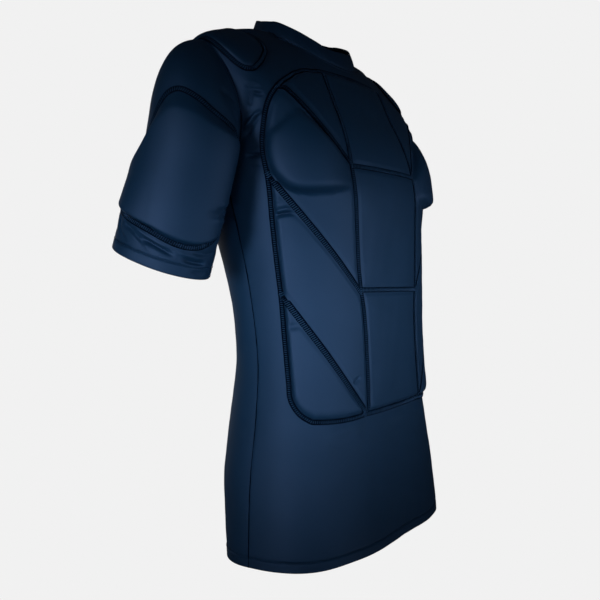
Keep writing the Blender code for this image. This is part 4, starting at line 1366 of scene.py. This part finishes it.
def add_shoulder_pad(name, side):
    """One shoulder pad."""
    degrees, edges = shoulder_strip(SHOULDER_PAD_GRID[1])
    grid = strip_grid(degrees, edges, SHOULDER_PAD_GRID[0])
    distance = np.maximum(edge_distance(grid, SHOULDER_SCALE) - SEAM_FLOOR, 0)
    thick = PAD_EDGE + (SHOULDER_PAD_THICK - PAD_EDGE) * rounded(distance, SHOULDER_PAD_ROUND)
    thick = thick + unevenness(grid[..., 0] * SHOULDER_SCALE[0], grid[..., 1] * SHOULDER_SCALE[1] + 0.05)
    over, under = padding_faces(shoulder_place(grid), thick, side)
    flat = (degrees * SHOULDER_SCALE[0], eased(SHOULDER_PAD_GRID[0]) * SHOULDER_PAD_LONG)
    return add_shell(name, over, under, flat, flip=side == "L")


# Sleeve pads
def sleeve_place(line):
    """Points and outward directions on the left sleeve, by turn (degrees) and share."""
    turn = np.radians(line[..., 0])
    return sleeve(turn, line[..., 1]), sleeve_normal(turn, line[..., 1])


def add_sleeve_pad(name, side):
    """One sleeve pad."""
    first, last = SLEEVE_PAD_EDGES[0][0], SLEEVE_PAD_EDGES[-1][0]
    rows, columns = SLEEVE_PAD_GRID
    degrees = first + (last - first) * eased(columns)
    grid = strip_grid(degrees, table_at(SLEEVE_PAD_EDGES, degrees), rows)
    turn, share = grid[..., 0], grid[..., 1]
    upper, lower, ends = (np.maximum(far - SEAM_FLOOR, 0) for far in inside_sleeve_pad(turn, share))
    slope = np.clip(upper / SLEEVE_SLOPE, 0, 3)
    slope = slope - SLEEVE_CORNER * np.log1p(np.exp((slope - 1) / SLEEVE_CORNER))
    form = slope * rounded(lower, SLEEVE_LOWER_ROUND) * rounded(ends, SLEEVE_END_ROUND)
    behind = smooth_step((SLEEVE_THIN_FROM - turn) / SLEEVE_THIN_RUN)
    behind = behind * smooth_step(1 - lower / SLEEVE_THIN_REACH)
    thick = PAD_EDGE + (SLEEVE_PAD_THICK - PAD_EDGE) * form * (1 - SLEEVE_THIN * behind)
    thick = thick + cuff_flare(turn, share)
    inner_part = np.clip(np.min([upper, lower, ends], axis=0) / SLEEVE_RELIEF_EDGE, 0, 1)
    thick = thick + arm_relief(np.radians(turn), share, side, SLEEVE_PAD_FOLDS) * inner_part
    over, under = padding_faces(sleeve_place(grid), thick, side)
    flat = (degrees * SLEEVE_SCALE[0], eased(rows) * SLEEVE_PAD_LONG)
    return add_shell(name, over, under, flat, flip=side == "R")


# Seams
def evenly(points, normals, pitch, offset=0.0):
    """Places at even distances along a line, with their directions: up, ahead and across."""
    length = lengths_along(points)
    count = max(int(round(length[-1] / pitch)), 2)
    at = (np.arange(count + 1) if offset == 0 else np.arange(count) + offset) * length[-1] / count
    place = np.stack([np.interp(at, length, points[:, k]) for k in range(3)], -1)
    up = unit(np.stack([np.interp(at, length, normals[:, k]) for k in range(3)], -1))
    ahead = np.gradient(place, axis=0)
    ahead = unit(ahead - up * (ahead * up).sum(-1, keepdims=True))
    return place, up, ahead, np.cross(up, ahead)


# A band's section: place across it and rise, each as a share
BAND_SECTION = ((-1.0, -1.6), (-0.92, 0.7), (-0.5, 1.0), (0.5, 1.0), (0.92, 0.7), (1.0, -1.6))


def add_bands(name, lines):
    """Flat bands along lines. Each line: points, normals, half the width at its start and at its end."""
    points = []
    quads = []
    spots = []
    start = 0
    for line, normals, half in lines:
        place, up, _, across = evenly(line, normals, BAND_PITCH)
        out = across * np.linspace(*half, len(place))[:, None]
        grid = np.stack([place + out * side + up * SEAM_LIFT * rise for side, rise in BAND_SECTION], 1)
        rows, columns = grid.shape[:2]
        row, column = grid_faces(rows, columns, False)
        quads.append(start + row * columns + column)
        spots.append(np.stack([column * 0.001, row * BAND_PITCH], -1).reshape(-1, 2))
        points.append(grid.reshape(-1, 3))
        start += rows * columns
    return add_mesh(name, np.concatenate(points), np.concatenate(quads), np.concatenate(spots))


# One stitch: place along it, rise and half thickness, each as a share
STITCH_STATIONS = ((-0.50, -0.4, 0.6), (-0.36, 1.0, 1.0), (0.36, 1.0, 1.0), (0.50, -0.4, 0.6))
STITCH_SECTION = ((-1.0, -0.5), (-0.62, 1.0), (0.62, 1.0), (1.0, -0.5))
# How much a ladder stitch leans, and how its length varies from one to the next: by this share, in steps of
# this angle
STITCH_LEAN = 0.16
STITCH_VARIES = 0.10
STITCH_STEP = 2.399


def add_stitches(name, runs):
    """Stitches in rows. Each run: points, normals, both end stitches' lengths, then the values of its kind."""
    points = []
    for line, normals, lengths, pitch, thick, high, lift, lengthwise in runs:
        place, up, ahead, across = evenly(line, normals, pitch, offset=0.5)
        long_way, wide_way = (ahead, across) if lengthwise else (across, ahead)
        lean = 0.0 if lengthwise else STITCH_LEAN
        number = np.arange(len(place))
        long = np.linspace(*lengths, len(place)) * (1 + STITCH_VARIES * np.sin(number * STITCH_STEP))
        bar = []
        for far, rise, fat in STITCH_STATIONS:
            for wide, top in STITCH_SECTION:
                aside = (wide * fat * thick / 2 + lean * far * long)[:, None]
                over = lift + high * (rise * (0.5 + 0.5 * top) if top > 0 else -0.5)
                bar.append(place + long_way * (far * long)[:, None] + wide_way * aside + up * over)
        points.append(np.stack(bar, 1))
    points = np.concatenate(points)
    stations = len(STITCH_STATIONS)
    sides = len(STITCH_SECTION)
    row, column = grid_faces(stations, sides, False)
    face = row * sides + column
    quads = (np.arange(len(points))[:, None, None] * stations * sides + face[None]).reshape(-1, 4)
    return add_mesh(name, points.reshape(-1, 3), quads)


# Materials
def add_node(tree, kind, inputs=None, **values):
    """A new shader node. inputs: values of its sockets by name."""
    node = tree.nodes.new(kind)
    for name, value in values.items():
        setattr(node, name, value)
    for name, value in (inputs or {}).items():
        node.inputs[name].default_value = value
    return node


def cloth_material(name, colour, roughness, shine, knit, mottle):
    """Stretch knit: fine ribs and rows, slow changes of colour, and a soft satin shine."""
    material = bpy.data.materials.new(name)
    material.use_nodes = True
    tree = material.node_tree
    link = tree.links.new
    shader = tree.nodes["Principled BSDF"]
    shader.inputs["Roughness"].default_value = roughness
    shader.inputs["Specular IOR Level"].default_value = shine
    shader.inputs["Specular Tint"].default_value = (*CLOTH_SHINE, 1)
    place = add_node(tree, "ShaderNodeTexCoord")

    slow = add_node(tree, "ShaderNodeTexNoise", {"Scale": 14.0, "Detail": 3.0})
    fine = add_node(tree, "ShaderNodeTexNoise", {"Scale": 900.0, "Detail": 2.0})
    link(place.outputs["Object"], slow.inputs["Vector"])
    link(place.outputs["Object"], fine.inputs["Vector"])
    both = add_node(tree, "ShaderNodeMix", {"Factor": 0.35}, data_type="FLOAT")
    link(slow.outputs["Fac"], both.inputs["A"])
    link(fine.outputs["Fac"], both.inputs["B"])
    limits = {"From Min": 0.3, "From Max": 0.7, "To Min": 1 - mottle, "To Max": 1 + mottle}
    tone = add_node(tree, "ShaderNodeMapRange", limits)
    link(both.outputs["Result"], tone.inputs["Value"])
    tint = add_node(tree, "ShaderNodeVectorMath", operation="SCALE")
    tint.inputs[0].default_value = colour
    link(tone.outputs["Result"], tint.inputs["Scale"])
    link(tint.outputs["Vector"], shader.inputs["Base Color"])

    weave = add_node(tree, "ShaderNodeMath", operation="MULTIPLY")
    for number, (direction, scale) in enumerate((("X", 330.0), ("Y", 420.0))):
        values = {"Scale": scale, "Distortion": 0.4}
        wave = add_node(tree, "ShaderNodeTexWave", values, wave_type="BANDS", bands_direction=direction)
        link(place.outputs["UV"], wave.inputs["Vector"])
        link(wave.outputs["Fac"], weave.inputs[number])
    bump = add_node(tree, "ShaderNodeBump", {"Strength": knit, "Distance": 0.0002})
    link(weave.outputs["Value"], bump.inputs["Height"])
    link(bump.outputs["Normal"], shader.inputs["Normal"])
    return material


def pale_material(name, colour):
    """A plain surface that shows as one even pale tone."""
    material = bpy.data.materials.new(name)
    material.use_nodes = True
    tree = material.node_tree
    tree.nodes.clear()
    glow = add_node(tree, "ShaderNodeEmission", {"Color": (*colour, 1)})
    out = add_node(tree, "ShaderNodeOutputMaterial")
    tree.links.new(glow.outputs["Emission"], out.inputs["Surface"])
    return material


# The seam bands' material is the painted shade of the seam grooves
cloth, padded_cloth, seam_shade_cloth, thread = (cloth_material(*row) for row in MATERIALS)


# Put the shirt together
def finish_piece(piece, material, slot, *nodes):
    """Give a piece its material and body, and hide the solids that it stands for. The slot is not used."""
    piece.data.materials.append(material)
    if nodes:
        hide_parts(*nodes)
    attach(piece, BODY)


def finish_pad(pad, node):
    """The same for a padded piece."""
    finish_piece(pad, padded_cloth, "padded_cloth", node)


BODY = sorted(frame["bodies"])[0]

front, front_flat, front_area = add_panel("front_cloth", True)
finish_piece(front, cloth, "stretch_cloth", "front_panel")
back, back_flat, back_area = add_panel("back_cloth", False)
finish_piece(back, cloth, "stretch_cloth", "back_panel")
collar, collar_flat = add_collar("collar_band")
finish_piece(collar, cloth, "stretch_cloth", "collar")

for side in ("L", "R"):
    arm, arm_flat, arm_area = add_sleeve("sleeve_cloth_" + side, side)
    finish_piece(arm, cloth, "stretch_cloth", "sleeve_" + side)
    finish_pad(add_sleeve_pad("sleeve_padding_" + side, side), "sleeve_pad_" + side)
    finish_pad(add_shoulder_pad("shoulder_padding_" + side, side), "shoulder_pad_" + side)

for name, grid in side_pads().items():
    piece_name = name.replace("pad_", "padding_")
    finish_pad(add_front_pad(piece_name + "_L", grid), name + "_L")
    finish_pad(add_front_pad(piece_name + "_R", opposite(grid)), name + "_R")

for name, top, bottom in (("upper", PAD_TOP, UPPER_CROSS_SEAM),
                          ("middle", UPPER_CROSS_SEAM, LOWER_CROSS_SEAM),
                          ("lower", LOWER_CROSS_SEAM, PAD_BOTTOM)):
    finish_pad(add_front_pad("padding_centre_" + name, centre_pad(top, bottom)), "pad_centre_" + name)


# Seams of the front padding
def front_seam(name):
    """Line of one of the seams on the wearer's left."""
    if name == "outline":
        return OUTLINE
    if name == "centre":
        return edge_line(CENTRE_SEAM, PAD_TOP, PAD_BOTTOM)
    return slant_line(name) - np.array([0, SLANT_SHIFT / 2])


def cross_seam(height):
    """Line from one centre seam to the other."""
    edge = float(edge_at(CENTRE_SEAM, height))
    return np.stack([np.linspace(-edge, edge, CROSS_POINTS), np.full(CROSS_POINTS, height)], -1)


left_lines = [(front_seam(name), *rest) for name, *rest in FRONT_SEAMS]
front_lines = left_lines + [(opposite(line), *rest) for line, *rest in left_lines]
for height, wide in CROSS_SEAMS:
    front_lines.append((cross_seam(height), (wide, wide), (CROSS_HALF, CROSS_HALF), 0.0))
bands = []
runs = []
for line, wide, half, down in front_lines:
    points, normals = front_place(line)
    bands.append((points + normals * seam_lift(line)[:, None], normals, half))
    lower = line - np.array([0, down])
    points, normals = front_place(lower)
    points = points + normals * seam_lift(line)[:, None]
    runs.append((points, normals, wide, *LADDER_STITCH))
# Along each side seam a thin band of the dark seam material paints a line of shade where the panels meet
for turn in (-np.pi / 2, np.pi / 2):
    turns = np.full(LINE_POINTS, turn)
    along = np.linspace(float(hem_along(turn)), ARMPIT, LINE_POINTS)
    bands.append((body(turns, along), body_normal(turns, along), (SIDE_SEAM_HALF, SIDE_SEAM_HALF)))
# The front's seam bands, side seams included, are painted dark as the shade in the seam grooves
finish_piece(add_bands("front_seam_bands", bands), seam_shade_cloth, "stretch_cloth")
finish_piece(add_stitches("front_seam_stitches", runs), thread, "stretch_cloth")


# Seams of the sleeves, the shoulders, the hem and the neck
def sleeve_seam():
    """Closed line round the left sleeve's padding: points and outward directions on the flared cuff."""
    along, across = SLEEVE_SEAM_POINTS
    degrees = np.linspace(SLEEVE_PAD_EDGES[0][0], SLEEVE_PAD_EDGES[-1][0], along)
    line = strip_outline(degrees, table_at(SLEEVE_PAD_EDGES, degrees), across)
    points, normals = sleeve_place(line)
    return points + normals * cuff_flare(line[:, 0], line[:, 1])[:, None], normals


def shoulder_seam():
    """The same round the left shoulder's padding."""
    along, across = SHOULDER_SEAM_POINTS
    return shoulder_place(strip_outline(*shoulder_strip(along), across))


def armhole_seam():
    """The same round the left armhole, between the body and the sleeve."""
    turn = np.linspace(0, 2 * np.pi, RING_POINTS)
    on_sleeve = sleeve_normal(turn, np.full(RING_POINTS, 0.04))
    return body(*armhole(turn)), unit(body_normal(*armhole(turn)) + on_sleeve)


sleeve_lines = (sleeve_seam(), shoulder_seam(), armhole_seam())
for side in ("L", "R"):
    bands = []
    runs = []
    for (points, normals), (_, wide, half, lift) in zip(sleeve_lines, SLEEVE_SEAMS):
        points = sleeve_part(side, points + normals * lift)
        normals = sleeve_part(side, normals)
        bands.append((points, normals, (half, half)))
        runs.append((points, normals, (wide, wide), *LADDER_STITCH))
    # The sleeve's seam bands are painted dark as the shade in the seam grooves
    finish_piece(add_bands("sleeve_seam_bands_" + side, bands), seam_shade_cloth, "stretch_cloth")
    cuff = np.stack([np.linspace(0, 360, RING_POINTS), np.full(RING_POINTS, CUFF_STITCH_SHARE)], -1)
    points, normals = sleeve_place(cuff)
    points = points + normals * cuff_flare(arm_degrees(np.radians(cuff[:, 0])), cuff[:, 1])[:, None]
    points, normals = sleeve_part(side, points), sleeve_part(side, normals)
    runs.append((points, normals, (HEM_STITCH_LONG, HEM_STITCH_LONG), *CUFF_STITCH))
    finish_piece(add_stitches("sleeve_seam_stitches_" + side, runs), thread, "stretch_cloth")

hem_turn = np.radians(np.linspace(-180, 180, HEM_POINTS))
low = hem_along(hem_turn)
hem_place = low + (ARMPIT - low) * HEM_STITCH_UP / UNDER_ARM
neck_turn = np.radians(np.linspace(-180, 180, RING_POINTS))
neck_place = np.full(RING_POINTS, NECK_STITCH_PLACE)
runs = [(body(hem_turn, hem_place), body_normal(hem_turn, hem_place),
         (HEM_STITCH_LONG, HEM_STITCH_LONG), *HEM_STITCH),
        (body(neck_turn, neck_place), body_normal(neck_turn, neck_place),
         (NECK_STITCH_LONG, NECK_STITCH_LONG), *NECK_STITCH)]
finish_piece(add_stitches("hem_stitches", runs), thread, "stretch_cloth")


# Backdrop, light and camera
def add_backdrop(name):
    """A round floor that sweeps up into walls all round, seen only by the camera."""
    flat_radius = BACKDROP_RADIUS - BACKDROP_BEND
    section = [(0.0, FLOOR_LEVEL), (flat_radius, FLOOR_LEVEL)]
    for turn in np.linspace(0, np.pi / 2, 9)[1:]:
        rise = BACKDROP_BEND * (1 - np.cos(turn))
        section.append((flat_radius + BACKDROP_BEND * np.sin(turn), FLOOR_LEVEL + rise))
    section += [(BACKDROP_RADIUS * share, level) for share, level in BACKDROP_TOP]
    turns = np.linspace(0, 2 * np.pi, 65)[:-1]
    rings = []
    for radius, level in section:
        radius = max(radius, 0.001)
        rings.append([(radius * np.cos(turn), radius * np.sin(turn), level) for turn in turns])
    row, column = grid_faces(len(section), len(turns), True)
    backdrop = add_mesh(name, np.reshape(rings, (-1, 3)), row * len(turns) + column % len(turns))
    backdrop.data.materials.append(pale_material("pale_backdrop", PALE))
    backdrop.visible_diffuse = False
    backdrop.visible_glossy = False
    backdrop.visible_shadow = False
    backdrop.visible_transmission = False


def add_light(name, azimuth, height, distance, size, spread, aim, power, colour):
    """A soft light, from one row of the table."""
    lamp = bpy.data.lights.new(name, "AREA")
    lamp.shape = "RECTANGLE"
    lamp.size, lamp.size_y = size
    lamp.energy = power
    lamp.color = colour
    lamp.spread = np.radians(spread)
    light = bpy.data.objects.new(name, lamp)
    turn = np.radians(azimuth)
    light.location = (distance * np.sin(turn), -distance * np.cos(turn), height)
    target = Vector((0, LIGHTS_LOOK_AT_Y, aim))
    light.rotation_euler = (target - light.location).to_track_quat("-Z", "Y").to_euler()
    light.visible_camera = False
    bpy.context.scene.collection.objects.link(light)


add_backdrop("studio_sweep")
for row in LIGHTS:
    add_light(*row)

world = bpy.data.worlds.new("studio")
world.use_nodes = True
world.node_tree.nodes["Background"].inputs["Color"].default_value = (*WORLD_COLOUR, 1)
world.node_tree.nodes["Background"].inputs["Strength"].default_value = WORLD_STRENGTH
bpy.context.scene.world = world
bpy.context.scene.view_settings.view_transform = "Standard"

camera_data = bpy.data.cameras.new("camera")
camera_data.lens = LENS
camera_data.sensor_width = SENSOR
camera = bpy.data.objects.new("camera", camera_data)
camera.location = CAMERA_PLACE
azimuth = np.radians(CAMERA_TURN)
ahead = np.array([np.sin(azimuth), np.cos(azimuth), 0.0])
right = np.array([np.cos(azimuth), -np.sin(azimuth), 0.0])
aim = ahead + right * CAMERA_ASIDE + np.array([0, 0, CAMERA_DOWN])
camera.rotation_euler = Vector(aim).to_track_quat("-Z", "Y").to_euler()
bpy.context.scene.collection.objects.link(camera)
bpy.context.scene.camera = camera
